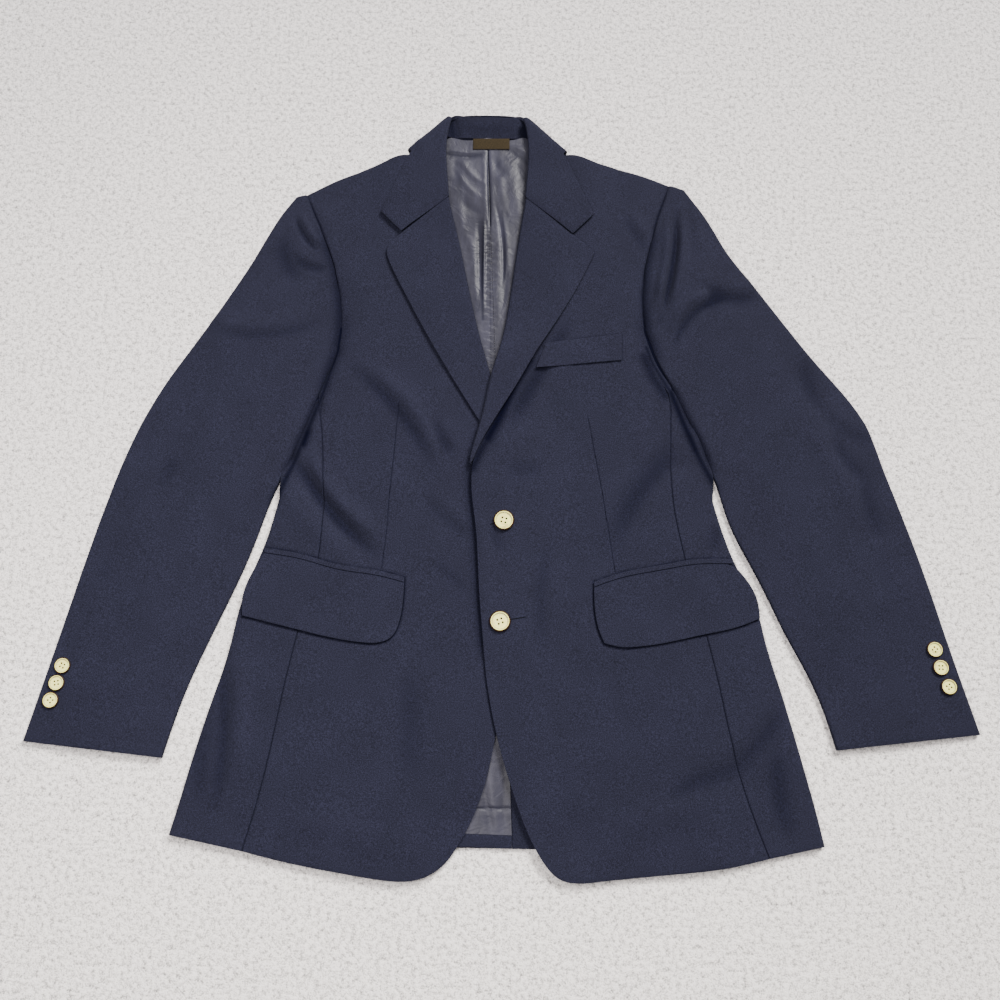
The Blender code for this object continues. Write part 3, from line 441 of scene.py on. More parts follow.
def soft_cloth(node, name, creases, levels, waves=1.0, foot=FOLD_FOOT, full=FOLD_FULL, edge=0.45):
    """A node's wall as cloth: rounded by subdivision, creased, and its cut edges turned softly."""
    piece = node_copy(node, name)
    crease_rims(piece)
    apply_modifier(piece, "SUBSURF", levels=levels, render_levels=levels)
    if levels > 2:
        refine(piece, near_creases(creases))
    add_creases(piece, creases, waves, foot, full)
    if edge:
        apply_modifier(
            piece,
            "BEVEL",
            width=edge * MM,
            segments=2,
            limit_method="ANGLE",
            angle_limit=RIM_ANGLE,
            use_clamp_overlap=True,
        )
    only(piece)
    bpy.ops.object.shade_smooth_by_angle(angle=SMOOTH_ANGLE)
    return piece


def finish_piece(piece, material, slot, *nodes):
    """Gives a piece its material and ties it to the frame."""
    piece.data.materials.clear()
    piece.data.materials.append(material)
    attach(piece, "root")
    if nodes:
        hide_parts(*nodes)


def points_of(piece):
    """A piece's points as an array, in metres."""
    points = np.empty(len(piece.data.vertices) * 3)
    piece.data.vertices.foreach_get("co", points)
    return points.reshape(-1, 3)


def set_points(piece, points):
    piece.data.vertices.foreach_set("co", points.ravel())
    piece.data.update()


# a spot of cloth that is pushed a little: its centre, how far the push reaches, and the push
Nudge = namedtuple("Nudge", "x y reach right up")


def nudge(piece, nudges):
    """Pushes a piece sideways around a few spots, in pattern millimetres."""
    points = points_of(piece)
    local = (points - np.array(ORIGIN)) / MM
    for spot in nudges:
        away = (local[:, 0] - spot.x) ** 2 + (local[:, 1] - spot.y) ** 2
        share = np.exp(-away / spot.reach**2)
        points[:, 0] += spot.right * share * MM
        points[:, 1] += spot.up * share * MM
    set_points(piece, points)


def tree_of(piece):
    shape = bmesh.new()
    shape.from_mesh(piece.data)
    tree = BVHTree.FromBMesh(shape)
    shape.free()
    return tree


def tuck(piece, low, depth, fade=16.0):
    """Lowers the part of a piece above a pattern height, so that its neighbour can lie over it."""
    points = points_of(piece)
    height = (points[:, 1] - ORIGIN.y) / MM
    share = np.clip((height - low) / fade, 0, 1) * np.clip((points[:, 2] / MM - 1) / 2, 0, 1)
    points[:, 2] -= depth * MM * share
    set_points(piece, points)


END_FADE = 24.0  # a local change fades in over this many millimetres at its ends
CELL_ROW = 1000003
SEAM_CELL = 3.0  # the mesh is finer within one to two of these from a seam
LOWEST = 1.6  # no dip takes cloth below this height
RIM_SHADE = 0.3  # painted shade: how much darker a cut edge is painted than the face
RIM_LEAN = 0.8  # faces that lean more than this from level are cut edges


def draw_edge(piece, other, reach, soft, low=-1e9, high=1e9, fall=1.0, past=0.0):
    """Draws a piece's cut edge to its neighbour within a reach, so the seam between them closes.

    The pull fades over the soft distance. It acts between the pattern heights low and high, and
    with no fall the edge keeps its own height.
    """
    tree = tree_of(other)
    bottom, top = ORIGIN.y + low * MM, ORIGIN.y + high * MM
    pulls = []
    points = points_of(piece)
    around = beside(points, points_of(other), max(reach, 8.0))
    edges = np.nonzero(around & (np.abs(normals_of(piece)[:, 2]) < 0.93))[0]
    for number in edges:
        vertex = piece.data.vertices[number]
        if not bottom < vertex.co.y < top:
            continue
        spot, normal, index, distance = tree.find_nearest(vertex.co, reach * MM)
        if spot is None:
            continue
        pull = spot - vertex.co
        pull.z *= fall
        if pull.length > 0:
            pull = pull * (1 + past * MM / pull.length)
        ends = min(1.0, (vertex.co.y - bottom) / (END_FADE * MM), (top - vertex.co.y) / (END_FADE * MM))
        pulls.append((vertex.co.copy(), pull * ends))
    if not pulls:
        return
    grid = KDTree(len(pulls))
    for index, (spot, pull) in enumerate(pulls):
        grid.insert(spot, index)
    grid.balance()
    pulled = np.array([spot for spot, pull in pulls])
    for number in np.nonzero(beside(points, pulled, max(soft, 8.0)))[0]:
        vertex = piece.data.vertices[number]
        spot, index, distance = grid.find(vertex.co)
        share = 1 - distance / (soft * MM)
        if share > 0:
            vertex.co += pulls[index][1] * share * share * (3 - 2 * share)
    piece.data.update()


def cells_of(points, size):
    """The square cells of the plan that points lie in, as one number a point."""
    cells = np.floor(points[:, :2] / (size * MM)).astype(np.int64)
    return cells[:, 0] * CELL_ROW + cells[:, 1]


def beside(points, spots, size):
    """Which points share a cell of this size, or a neighbouring one, with one of the spots."""
    taken = cells_of(spots, size)
    keys = [taken + step + row * CELL_ROW for step in (-1, 0, 1) for row in (-1, 0, 1)]
    return np.isin(cells_of(points, size), np.unique(np.concatenate(keys)))


def normals_of(piece):
    """A piece's point normals as an array."""
    normals = np.empty(len(piece.data.vertices) * 3)
    piece.data.vertices.foreach_get("normal", normals)
    return normals.reshape(-1, 3)


def rim_points(piece):
    """The points on a piece's cut edges and folds."""
    return points_of(piece)[np.abs(normals_of(piece)[:, 2]) < RIM_LEAN]


def paint_shade(piece, spots, amounts):
    """Paints shade into points through the painted shade attribute: keeps the strongest shade."""
    layer = piece.data.attributes.get(PAINTED_SHADE) or piece.data.attributes.new(PAINTED_SHADE, "FLOAT", "POINT")
    values = np.empty(len(piece.data.vertices), dtype=np.float32)
    layer.data.foreach_get("value", values)
    values[spots] = np.maximum(values[spots], amounts)
    layer.data.foreach_set("value", values)


def paint_rim_shade(piece):
    """Paints shade into a piece's cut edges and turned sides."""
    lean = np.clip((0.75 - np.abs(normals_of(piece)[:, 2])) / 0.5, 0, 1)
    paint_shade(piece, slice(None), RIM_SHADE * lean)


def paint_shade_along(piece, line, width, dark):
    """Paints shade into the cloth beside a line of pattern places."""
    flat = ((points_of(piece) - np.array(ORIGIN)) / MM)[:, :2]
    nearest = np.full(len(flat), 1e9)
    for start, end in zip(line, line[1:]):
        way = np.subtract(end, start)
        share = np.clip((flat - start) @ way / (way @ way), 0, 1)
        away = flat - start - share[:, None] * way
        nearest = np.minimum(nearest, np.hypot(away[:, 0], away[:, 1]))
    paint_shade(piece, slice(None), dark * np.exp(-((nearest / width) ** 2)))


def meet(piece, other, depth, width, dark=0.0, low=-1e9, high=1e9, rim=False):
    """Lets a piece dip towards its seam with a neighbour, and paints shade into it there.

    It acts between two pattern heights, beside the whole neighbour or only along its outline.
    """
    points = points_of(piece)
    reach = 3 * width
    heights = (points[:, 1] - ORIGIN.y) / MM
    ends = np.clip(np.minimum(heights - low, high - heights) / END_FADE, 0, 1)
    spots = rim_points(other) if rim else points_of(other)
    chosen = (ends > 0) & (points[:, 2] > 2 * MM) & beside(points, spots, max(reach, 8.0))
    tree = rim_tree(other) if rim else tree_of(other)
    found, shares = [], []
    for index in np.nonzero(chosen)[0]:
        distance = tree.find_nearest(Vector(points[index]), reach * MM)[3]
        if distance is not None:
            found.append(index)
            shares.append(ends[index] * math.exp(-((distance / (width * MM)) ** 2)))
    if not found:
        return
    shares = np.array(shares)
    points[found, 2] = np.maximum(points[found, 2] - depth * MM * shares, LOWEST * MM)
    set_points(piece, points)
    if dark:
        paint_shade(piece, found, dark * shares)


def rim_tree(piece):
    """The cut edges of a piece, to measure distances from its outline."""
    shape = bmesh.new()
    shape.from_mesh(piece.data)
    flat = [face for face in shape.faces if abs(face.normal.z) > RIM_LEAN]
    bmesh.ops.delete(shape, geom=flat, context="FACES")
    tree = BVHTree.FromBMesh(shape)
    shape.free()
    return tree


def refine(piece, near, cuts=1):
    """Divides the faces whose centres pass a test, given arrays of pattern millimetres."""
    mesh = piece.data
    centres = np.empty(len(mesh.polygons) * 3)
    mesh.polygons.foreach_get("center", centres)
    local = (centres.reshape(-1, 3) - np.array(ORIGIN)) / MM
    chosen = np.nonzero(near(local[:, 0], local[:, 1], local[:, 2]))[0]
    if not len(chosen):
        return
    shape = bmesh.new()
    shape.from_mesh(mesh)
    shape.faces.ensure_lookup_table()
    edges = {edge for index in chosen for edge in shape.faces[index].edges}
    bmesh.ops.subdivide_edges(shape, edges=list(edges), cuts=cuts, use_grid_fill=True, smooth=0.0)
    shape.to_mesh(mesh)
    shape.free()


def refine_along(piece, others, cuts=1):
    """Divides a piece's top along the outlines of its neighbours, for narrow seams."""
    spots = np.concatenate([rim_points(other) for other in others])

    def near(x, y, z):
        points = np.stack((x, y, z), axis=1) * MM + np.array(ORIGIN)
        return (z > FOLD_FOOT) & beside(points, spots, SEAM_CELL)

    refine(piece, near, cuts)


def cut_grid(piece, step):
    """Cuts a piece's large flat faces into cells, so that subdivision is even."""
    shape = bmesh.new()
    shape.from_mesh(piece.data)
    for axis in (0, 1):
        values = [vertex.co[axis] for vertex in shape.verts]
        count = int((max(values) - min(values)) / (step * MM))
        normal = Vector((1, 0, 0)) if axis == 0 else Vector((0, 1, 0))
        for index in range(1, count):
            where = min(values) + index * step * MM
            geometry = shape.verts[:] + shape.edges[:] + shape.faces[:]
            bmesh.ops.bisect_plane(
                shape, geom=geometry, dist=0.3 * MM, plane_co=normal * where, plane_no=normal
            )
    shape.to_mesh(piece.data)
    shape.free()


def near_creases(creases, finest=7.5, margin=2.4):
    """A test for places on the narrow creases of a table, where the mesh has to be finer."""
    narrow = [crease for crease in creases if crease.width < finest]

    def test(x, y, z):
        found = np.zeros(x.shape, dtype=bool)
        for crease in narrow:
            angle = math.radians(crease.heading)
            along = (x - crease.x) * math.cos(angle) + (y - crease.y) * math.sin(angle)
            across = (y - crease.y) * math.cos(angle) - (x - crease.x) * math.sin(angle)
            across = across - crease.bend * (along / crease.length) ** 2
            found |= (np.abs(along) < crease.length * 1.2) & (np.abs(across) < crease.width * margin)
        return found & (z > FOLD_FOOT)

    return test


def press_and_shade_line(piece, line, width, depth, dark):
    """Presses a stitched line into the top of a piece: cuts along it, lowers it and paints shade along it."""
    paint_shade(piece, [], [])
    for start, end in zip(line, line[1:]):
        first, last = place(*start), place(*end)
        way = (last - first).normalized()
        side = Vector((-way.y, way.x, 0))
        shape = bmesh.new()
        shape.from_mesh(piece.data)
        length = (last - first).length
        for offset in (-width * MM, width * MM, 0.0):
            faces = []
            for face in shape.faces:
                centre = face.calc_center_median() - first
                if face.normal.z > 0.3 and -4 * MM < centre.dot(way) < length + 4 * MM:
                    if abs(centre.dot(side)) < 6 * MM:
                        faces.append(face)
            edges = {edge for face in faces for edge in face.edges}
            verts = {vert for face in faces for vert in face.verts}
            bmesh.ops.bisect_plane(
                shape,
                geom=list(verts) + list(edges) + faces,
                dist=0.02 * MM,
                plane_co=first + side * offset,
                plane_no=side,
            )
        for vertex in shape.verts:
            across = (vertex.co - first).dot(side)
            along = (vertex.co - first).dot(way)
            if abs(across) < 0.03 * MM and -1 * MM < along < length + 1 * MM and vertex.normal.z > 0.3:
                vertex.co.z -= depth * MM
                vertex[shape.verts.layers.float[PAINTED_SHADE]] = dark
        shape.to_mesh(piece.data)
        shape.free()


# ---------------------------------------------------------------- materials


def linear(colour):
    """A display colour of 0 to 255 a channel as the linear colour that shaders take."""
    shares = [channel / 255 for channel in colour]
    return [s / 12.92 if s <= 0.04045 else ((s + 0.055) / 1.055) ** 2.4 for s in shares] + [1.0]


SHADE_TINT = (1.06, 1.04, 0.84)  # painted shade loses less of its blue


class Finish:
    """A material being made: its nodes, its links and its main shader."""

    def __init__(self, name):
        self.material = bpy.data.materials.new(name)
        self.material.use_nodes = True
        self.nodes = self.material.node_tree.nodes
        self.links = self.material.node_tree.links
        self.shader = self.nodes["Principled BSDF"]
        self.object = self.nodes.new("ShaderNodeTexCoord").outputs["Object"]

    def set(self, **sockets):
        """Sets the main shader's sockets: underscores stand for spaces."""
        for name, value in sockets.items():
            self.shader.inputs[name.replace("_", " ")].default_value = value

    def turned(self, degrees, stretch=(1, 1, 1)):
        """Object coordinates turned about the vertical, so a weave follows its piece."""
        mapping = self.nodes.new("ShaderNodeMapping")
        mapping.inputs["Rotation"].default_value = (0, 0, math.radians(degrees))
        mapping.inputs["Scale"].default_value = stretch
        self.links.new(self.object, mapping.inputs["Vector"])
        return mapping.outputs["Vector"]

    def noise(self, where, scale, detail=2.0, roughness=0.5, distortion=0.0):
        texture = self.nodes.new("ShaderNodeTexNoise")
        texture.inputs["Scale"].default_value = scale
        texture.inputs["Detail"].default_value = detail
        texture.inputs["Roughness"].default_value = roughness
        texture.inputs["Distortion"].default_value = distortion
        self.links.new(where, texture.inputs["Vector"])
        return texture.outputs["Fac"]

    def wave(self, where, scale, direction="DIAGONAL", distortion=0.0):
        texture = self.nodes.new("ShaderNodeTexWave")
        texture.wave_type = "BANDS"
        texture.bands_direction = direction
        texture.inputs["Scale"].default_value = scale
        texture.inputs["Distortion"].default_value = distortion
        self.links.new(where, texture.inputs["Vector"])
        return texture.outputs["Fac"]

    def ramp(self, factor, *stops):
        """Colours along a factor: each stop is a position and a display colour."""
        ramp = self.nodes.new("ShaderNodeValToRGB")
        while len(ramp.color_ramp.elements) < len(stops):
            ramp.color_ramp.elements.new(0.5)
        for element, (position, colour) in zip(ramp.color_ramp.elements, stops):
            element.position = position
            element.color = linear(colour)
        self.links.new(factor, ramp.inputs["Fac"])
        return ramp.outputs["Color"]

    def math(self, kind, first, second):
        node = self.nodes.new("ShaderNodeMath")
        node.operation = kind
        for socket, value in zip(node.inputs, (first, second)):
            if isinstance(value, (int, float)):
                socket.default_value = value
            else:
                self.links.new(value, socket)
        return node.outputs["Value"]

    def attribute(self, name):
        values = self.nodes.new("ShaderNodeAttribute")
        values.attribute_name = name
        return values.outputs["Fac"]

    def darkened(self, colour, amount):
        """A colour made darker by an amount: at 1 it is black, and below 0 it is paler."""
        loss = self.nodes.new("ShaderNodeVectorMath")
        loss.operation = "SCALE"
        loss.inputs[0].default_value = SHADE_TINT
        self.links.new(amount, loss.inputs["Scale"])
        left = self.nodes.new("ShaderNodeVectorMath")
        left.operation = "SUBTRACT"
        left.inputs[0].default_value = (1.0, 1.0, 1.0)
        self.links.new(loss.outputs["Vector"], left.inputs[1])
        scaled = self.nodes.new("ShaderNodeVectorMath")
        scaled.operation = "MULTIPLY"
        self.links.new(colour, scaled.inputs[0])
        self.links.new(left.outputs["Vector"], scaled.inputs[1])
        return scaled.outputs["Vector"]

    def bump(self, height, distance, strength=1.0, before=None):
        """A bump of this depth in metres, on top of another one if given."""
        bump = self.nodes.new("ShaderNodeBump")
        bump.inputs["Distance"].default_value = distance
        bump.inputs["Strength"].default_value = strength
        self.links.new(height, bump.inputs["Height"])
        if before is not None:
            self.links.new(before, bump.inputs["Normal"])
        return bump.outputs["Normal"]

    def link(self, output, socket):
        self.links.new(output, self.shader.inputs[socket])


def shade(colour, factor):
    """A display colour made darker or lighter."""
    return [min(255.0, channel * factor) for channel in colour]


def wool(name, grain):
    """Fine navy twill: its diagonal ribs run at 45 degrees to the piece's grain."""
    settings = bpy.context.scene.blazer_cloth
    colour = [channel * 255 for channel in settings.wool_colour]
    finish = Finish(name)
    where = finish.turned(grain)
    fibres = finish.noise(where, 900, 3.0, 0.7)
    cloud = finish.noise(where, 22, 4.0, 0.6)
    mixed = finish.math("ADD", finish.math("MULTIPLY", fibres, 0.9), finish.math("MULTIPLY", cloud, 0.1))
    tone = finish.ramp(mixed, (0.32, shade(colour, 0.62)), (0.5, colour), (0.68, shade(colour, 1.4)))
    # painted shade: the attribute darkens the wool's base colour in hollows, seams and at cut edges
    finish.link(finish.darkened(tone, finish.attribute(PAINTED_SHADE)), "Base Color")
    ribs = finish.wave(where, 330, "DIAGONAL", 0.6)
    ribbed = finish.bump(ribs, 0.05 * MM, 0.5)
    hairy = finish.bump(fibres, 0.16 * MM, 0.7, ribbed)
    soft = finish.bump(finish.noise(where, 140, 3.0, 0.6), 0.35 * MM, 0.6, hairy)
    finish.link(soft, "Normal")
    finish.set(
        Roughness=0.88,
        Specular_IOR_Level=0.05,
        Sheen_Weight=0.04,
        Sheen_Roughness=0.5,
        Sheen_Tint=linear((190, 195, 215)),
    )
    return finish.material


def satin(name, grain):
    """Grey lining satin with fine lengthwise threads."""
    settings = bpy.context.scene.blazer_cloth
    colour = [channel * 255 for channel in settings.lining_colour]
    finish = Finish(name)
    where = finish.turned(grain)
    cloud = finish.noise(finish.turned(grain, (1, 0.3, 1)), 60, 3.0, 0.6)
    tone = finish.ramp(cloud, (0.3, shade(colour, 0.82)), (0.52, colour), (0.72, shade(colour, 1.18)))
    # painted shade: the attribute darkens the satin's base colour along its folds and in its troughs
    finish.link(finish.darkened(tone, finish.attribute(PAINTED_SHADE)), "Base Color")
    threads = finish.noise(finish.turned(grain, (6, 0.6, 1)), 500, 2.0, 0.5)
    weave = finish.bump(threads, 0.05 * MM, 0.5)
    crumple = finish.bump(finish.noise(where, 70, 3.0, 0.5, 0.8), 1.6 * MM, 0.6, weave)
    finish.link(crumple, "Normal")
    finish.set(Roughness=0.42, Specular_IOR_Level=0.2, Anisotropic=0.3)
    return finish.material


def woven_label():
    """The blank olive label: fine crosswise weave."""
    finish = Finish("Olive label weave")
    where = finish.turned(0, (1, 5, 1))
    threads = finish.noise(where, 700, 2.0, 0.6)
    finish.link(
        finish.ramp(threads, (0.3, (30, 25, 18)), (0.6, (54, 46, 32)), (0.8, (84, 72, 48))),
        "Base Color",
    )
    finish.link(finish.bump(threads, 0.12 * MM, 0.7), "Normal")
    finish.set(Roughness=0.9, Specular_IOR_Level=0.08)
    return finish.material


def horn():
    """Polished cream horn, clouded; the button's dark brown outer edge is a material of its own."""
    settings = bpy.context.scene.blazer_buttons
    colour = [channel * 255 for channel in settings.horn_colour]
    finish = Finish("Pale horn")
    where = finish.turned(20, (1, 2.2, 1))
    cloud = finish.noise(where, 130, 3.0, 0.55, 1.4)
    tone = finish.ramp(
        cloud,
        (0.30, shade(colour, 0.82)),
        (0.46, colour),
        (0.62, shade(colour, 1.04)),
        (0.78, shade(colour, 0.92)),
    )
    # painted shade: the attribute darkens the ring where the rim meets the dish
    finish.link(finish.darkened(tone, finish.attribute(PAINTED_SHADE)), "Base Color")
    finish.link(finish.bump(cloud, 0.15 * MM, 0.25), "Normal")
    finish.set(
        Roughness=0.3,
        Specular_IOR_Level=0.35,
        Coat_Weight=0.3,
        Coat_Roughness=0.12,
        Subsurface_Weight=0.06,
    )
    finish.shader.inputs["Subsurface Scale"].default_value = 1.5 * MM
    return finish.material


def brown_edge():
    """The burnt brown edge and holes of a horn button."""
    finish = Finish("Brown horn edge")
    cloud = finish.noise(finish.turned(0), 300, 2.0, 0.6)
    finish.link(finish.ramp(cloud, (0.3, (26, 13, 6)), (0.7, (50, 28, 12))), "Base Color")
    finish.set(Roughness=0.6, Specular_IOR_Level=0.2)
    return finish.material


def thread(name, colour):
    """Twisted sewing thread."""
    finish = Finish(name)
    twist = finish.wave(finish.turned(35), 1500, "X", 1.0)
    finish.link(finish.ramp(twist, (0.2, shade(colour, 0.7)), (0.8, colour)), "Base Color")
    finish.link(finish.bump(twist, 0.06 * MM, 0.6), "Normal")
    finish.set(Roughness=0.85, Specular_IOR_Level=0.1)
    return finish.material


FAR_SHADE = 0.16  # painted shade: the floor is darker towards the collar and paler towards the hem, a share of the tone a metre


def fleece():
    """The pale brushed cloth that the garment lies on."""
    settings = bpy.context.scene.blazer_stage
    colour = [channel * 255 for channel in settings.floor_colour]
    finish = Finish("Pale fleece")
    where = finish.turned(0)
    pile = finish.noise(where, 620, 4.0, 0.7)
    clumps = finish.noise(where, 210, 4.0, 0.65)
    mixed = finish.math("ADD", finish.math("MULTIPLY", pile, 0.5), finish.math("MULTIPLY", clumps, 0.5))
    tone = finish.ramp(mixed, (0.34, shade(colour, 0.45)), (0.54, colour))
    axes = finish.nodes.new("ShaderNodeSeparateXYZ")
    finish.links.new(finish.object, axes.inputs["Vector"])
    # painted shade falling off along the floor's Y
    far = finish.math("MULTIPLY", axes.outputs["Y"], FAR_SHADE)
    finish.link(finish.darkened(tone, far), "Base Color")
    deep = finish.bump(clumps, 2.4 * MM, 0.6)
    finish.link(finish.bump(pile, 0.8 * MM, 0.6, deep), "Normal")
    finish.set(Roughness=0.95, Specular_IOR_Level=0.1, Sheen_Weight=0.3)
    return finish.material


# ---------------------------------------------------------------- settings


class BlazerCloth(bpy.types.PropertyGroup):
    wool_colour: FloatVectorProperty(
        name="Wool",
        description="Display colour of the navy wool",
        subtype="COLOR",
        size=3,
        min=0,
        max=1,
        default=(31.1 / 255, 31.6 / 255, 44.1 / 255),
    )
    lining_colour: FloatVectorProperty(
        name="Lining",
        description="Display colour of the grey satin lining",
        subtype="COLOR",
        size=3,
        min=0,
        max=1,
        default=(51.5 / 255, 51 / 255, 61.5 / 255),
    )
    crease_gain: FloatProperty(
        name="Creases",
        description="How strongly the cloth is creased, as a share of the tables' heights",
        subtype="FACTOR",
        min=0,
        max=3,
        default=1.7,
    )
    fine_levels: IntProperty(
        name="Fineness",
        description="Subdivision levels of the cloth that shows most",
        min=1,
        max=3,
        default=3,
    )


class BlazerButtons(bpy.types.PropertyGroup):
    horn_colour: FloatVectorProperty(
        name="Horn",
        description="Display colour of the buttons' cream horn",
        subtype="COLOR",
        size=3,
        min=0,
        max=1,
        default=(255 / 255, 244 / 255, 146 / 255),
    )
    hole_size: FloatProperty(
        name="Hole",
        description="Width of each of the four sewing holes of a front button",
        subtype="DISTANCE",
        unit="LENGTH",
        default=2.1 * MM,
    )
    hole_turn: FloatProperty(
        name="Turn of the holes",
        description="How far the four holes are turned from square",
        subtype="ANGLE",
        unit="ROTATION",
        default=math.radians(30),
    )


class BlazerSewing(bpy.types.PropertyGroup):
    stitch_length: FloatProperty(
        name="Prick stitch",
        description="Length of one prick stitch on the surface",
        subtype="DISTANCE",
        unit="LENGTH",
        default=1.6 * MM,
    )
    stitch_pitch: FloatProperty(
        name="Pitch",
        description="Distance from one prick stitch to the next",
        subtype="DISTANCE",
        unit="LENGTH",
        default=5.5 * MM,
    )


class BlazerStage(bpy.types.PropertyGroup):
    floor_colour: FloatVectorProperty(
        name="Floor",
        description="Display colour of the surface that the garment lies on",
        subtype="COLOR",
        size=3,
        min=0,
        max=1,
        default=(252 / 255, 246 / 255, 243 / 255),
    )
    floor_size: FloatProperty(
        name="Floor size",
        description="Side of the square surface",
        subtype="DISTANCE",
        unit="LENGTH",
        default=6.0,
    )
    key_power: FloatProperty(
        name="Key light",
        description="Power of the large soft light",
        subtype="POWER",
        unit="POWER",
        default=2940.0,
    )
    camera_height: FloatProperty(
        name="Camera height",
        description="Height of the camera above the surface",
        subtype="DISTANCE",
        unit="LENGTH",
        default=1.017,
    )


# ---------------------------------------------------------------- operators


RIGHT_GRAIN = 28.0  # the right sleeve lies turned by this from the body's grain, in degrees
LEFT_GRAIN = -28.0

Cut = namedtuple("Cut", "width length area")  # metres and square metres of the cloth that shows

CUTS = {
    "back_vent": Cut(0.041, 0.217, 0.00887),
    "breast_welt": Cut(0.092, 0.0305, 0.00275),
    "collar_fall": Cut(0.420, 0.070, 0.02497),
    "collar_stand": Cut(0.210, 0.040, 0.00721),
    "left_back": Cut(0.250, 0.787, 0.15332),
    "left_back_hem": Cut(0.207, 0.0135, 0.00271),
    "left_back_lining": Cut(0.235, 0.768, 0.12028),
    "left_front": Cut(0.250, 0.789, 0.14919),
    "left_lapel": Cut(0.090, 0.330, 0.01542),
    "left_pocket_flap": Cut(0.165, 0.072, 0.01150),
    "left_pocket_jet": Cut(0.145, 0.0100, 0.00090),
    "left_side_panel": Cut(0.100, 0.550, 0.04363),
    "left_topsleeve": Cut(0.220, 0.680, 0.11194),
    "left_undersleeve": Cut(0.160, 0.640, 0.07415),
    "neck_label": Cut(0.042, 0.015, 0.00062),
    "right_back": Cut(0.255, 0.787, 0.15892),
    "right_back_hem": Cut(0.278, 0.0135, 0.00362),
    "right_back_lining": Cut(0.250, 0.768, 0.13928),
    "right_front": Cut(0.240, 0.787, 0.14162),
    "right_lapel": Cut(0.090, 0.310, 0.01652),
    "right_pocket_flap": Cut(0.165, 0.070, 0.01126),
    "right_pocket_jet": Cut(0.145, 0.0100, 0.00091),
    "right_side_panel": Cut(0.105, 0.520, 0.04496),
    "right_topsleeve": Cut(0.215, 0.670, 0.10715),
    "right_undersleeve": Cut(0.155, 0.635, 0.06987),
}


def cloth_name(node):
    """The name of the cloth piece that stands for a node."""
    return node + "_cloth"


def sew(node, material, slot, creases, levels, **settings):
    """Makes the cloth of one node, paints shade at its cut edges and finishes it."""
    piece = soft_cloth(node, cloth_name(node), creases, levels, **settings)
    paint_rim_shade(piece)
    finish_piece(piece, material, slot, node)
    return piece


class BLAZER_OT_stage(bpy.types.Operator):
    """Lay out the surface, the soft lights and the camera"""

    bl_idname = "blazer.stage"
    bl_label = "Stage"

    def execute(self, context):
        settings = context.scene.blazer_stage
        only_floor = settings.floor_size
        bpy.ops.object.select_all(action="DESELECT")
        bpy.ops.mesh.primitive_grid_add(
            x_subdivisions=40, y_subdivisions=40, size=only_floor, location=(0, 0, -0.3 * MM)
        )
        floor = context.object
        floor.name = "tabletop"
        bpy.ops.object.transform_apply(location=True, rotation=True, scale=True)
        floor.data.materials.append(fleece())

        self.lamp("Window", (4.8, 6.9, 7.4), settings.key_power, 4.4, (255, 253, 250))
        self.lamp("Ceiling", (-0.3, -0.2, 1.15), settings.key_power * 0.0054, 0.7, (255, 250, 250))

        world = bpy.data.worlds.new("Studio air")
        world.use_nodes = True
        background = world.node_tree.nodes["Background"]
        background.inputs["Color"].default_value = linear((238, 238, 238))
        background.inputs["Strength"].default_value = 0.26
        context.scene.world = world

        camera_data = bpy.data.cameras.new("Camera")
        camera_data.lens = 36.0
        camera_data.sensor_width = 36.0
        camera = bpy.data.objects.new("Camera", camera_data)
        context.scene.collection.objects.link(camera)
        camera.location = place(0, 108, settings.camera_height / MM)
        camera.rotation_euler = (math.radians(15), 0, 0)
        context.scene.camera = camera
        return {"FINISHED"}

    def lamp(self, name, where, power, size, colour):
        """Adds a square soft light that faces the middle of the garment."""
        data = bpy.data.lights.new(name, "AREA")
        data.energy = power
        data.size = size
        data.color = linear(colour)[:3]
        lamp = bpy.data.objects.new(name, data)
        lamp.location = where
        lamp.rotation_euler = (-Vector(where)).to_track_quat("-Z", "Y").to_euler()
        bpy.context.scene.collection.objects.link(lamp)


class BLAZER_OT_body(bpy.types.Operator):
    """Make the backs, side panels and fronts"""

    bl_idname = "blazer.body"
    bl_label = "Body"

    def execute(self, context):
        fine = context.scene.blazer_cloth.fine_levels
        cloth = wool("Navy wool, body", 0)
        for node in ("left_back", "right_back"):
            sew(node, cloth, "navy_wool", BODY_CREASES, 2, waves=0.4)
        for node in ("left_back_hem", "right_back_hem", "back_vent"):
            sew(node, cloth, "navy_wool", NO_CREASES, 2, waves=0.0, edge=0.2)
        for node in ("left_side_panel", "right_side_panel", "right_front"):
            sew(node, cloth, "navy_wool", BODY_CREASES, fine)
        sew("left_front", cloth, "navy_wool", BODY_CREASES + LEFT_FRONT_CREASES, fine)
        return {"FINISHED"}


class BLAZER_OT_lapels(bpy.types.Operator):
    """Make the turned lapels"""

    bl_idname = "blazer.lapels"
    bl_label = "Lapels"

    def execute(self, context):
        fine = context.scene.blazer_cloth.fine_levels
        for node, grain in (("left_lapel", 22), ("right_lapel", -22)):
            cloth = wool("Navy wool, " + node.replace("_", " "), grain)
            sew(node, cloth, "navy_wool", BODY_CREASES + LAPEL_CREASES, fine)
        return {"FINISHED"}


class BLAZER_OT_collar(bpy.types.Operator):
    """Make the collar's fall and stand"""

    bl_idname = "blazer.collar"
    bl_label = "Collar"

    def execute(self, context):
        cloth = wool("Navy wool, collar", 90)
        sew("collar_fall", cloth, "navy_wool", COLLAR_CREASES, 2, waves=0.6)
        sew("collar_stand", cloth, "navy_wool", STAND_CREASES, 3, waves=0.4)
        return {"FINISHED"}


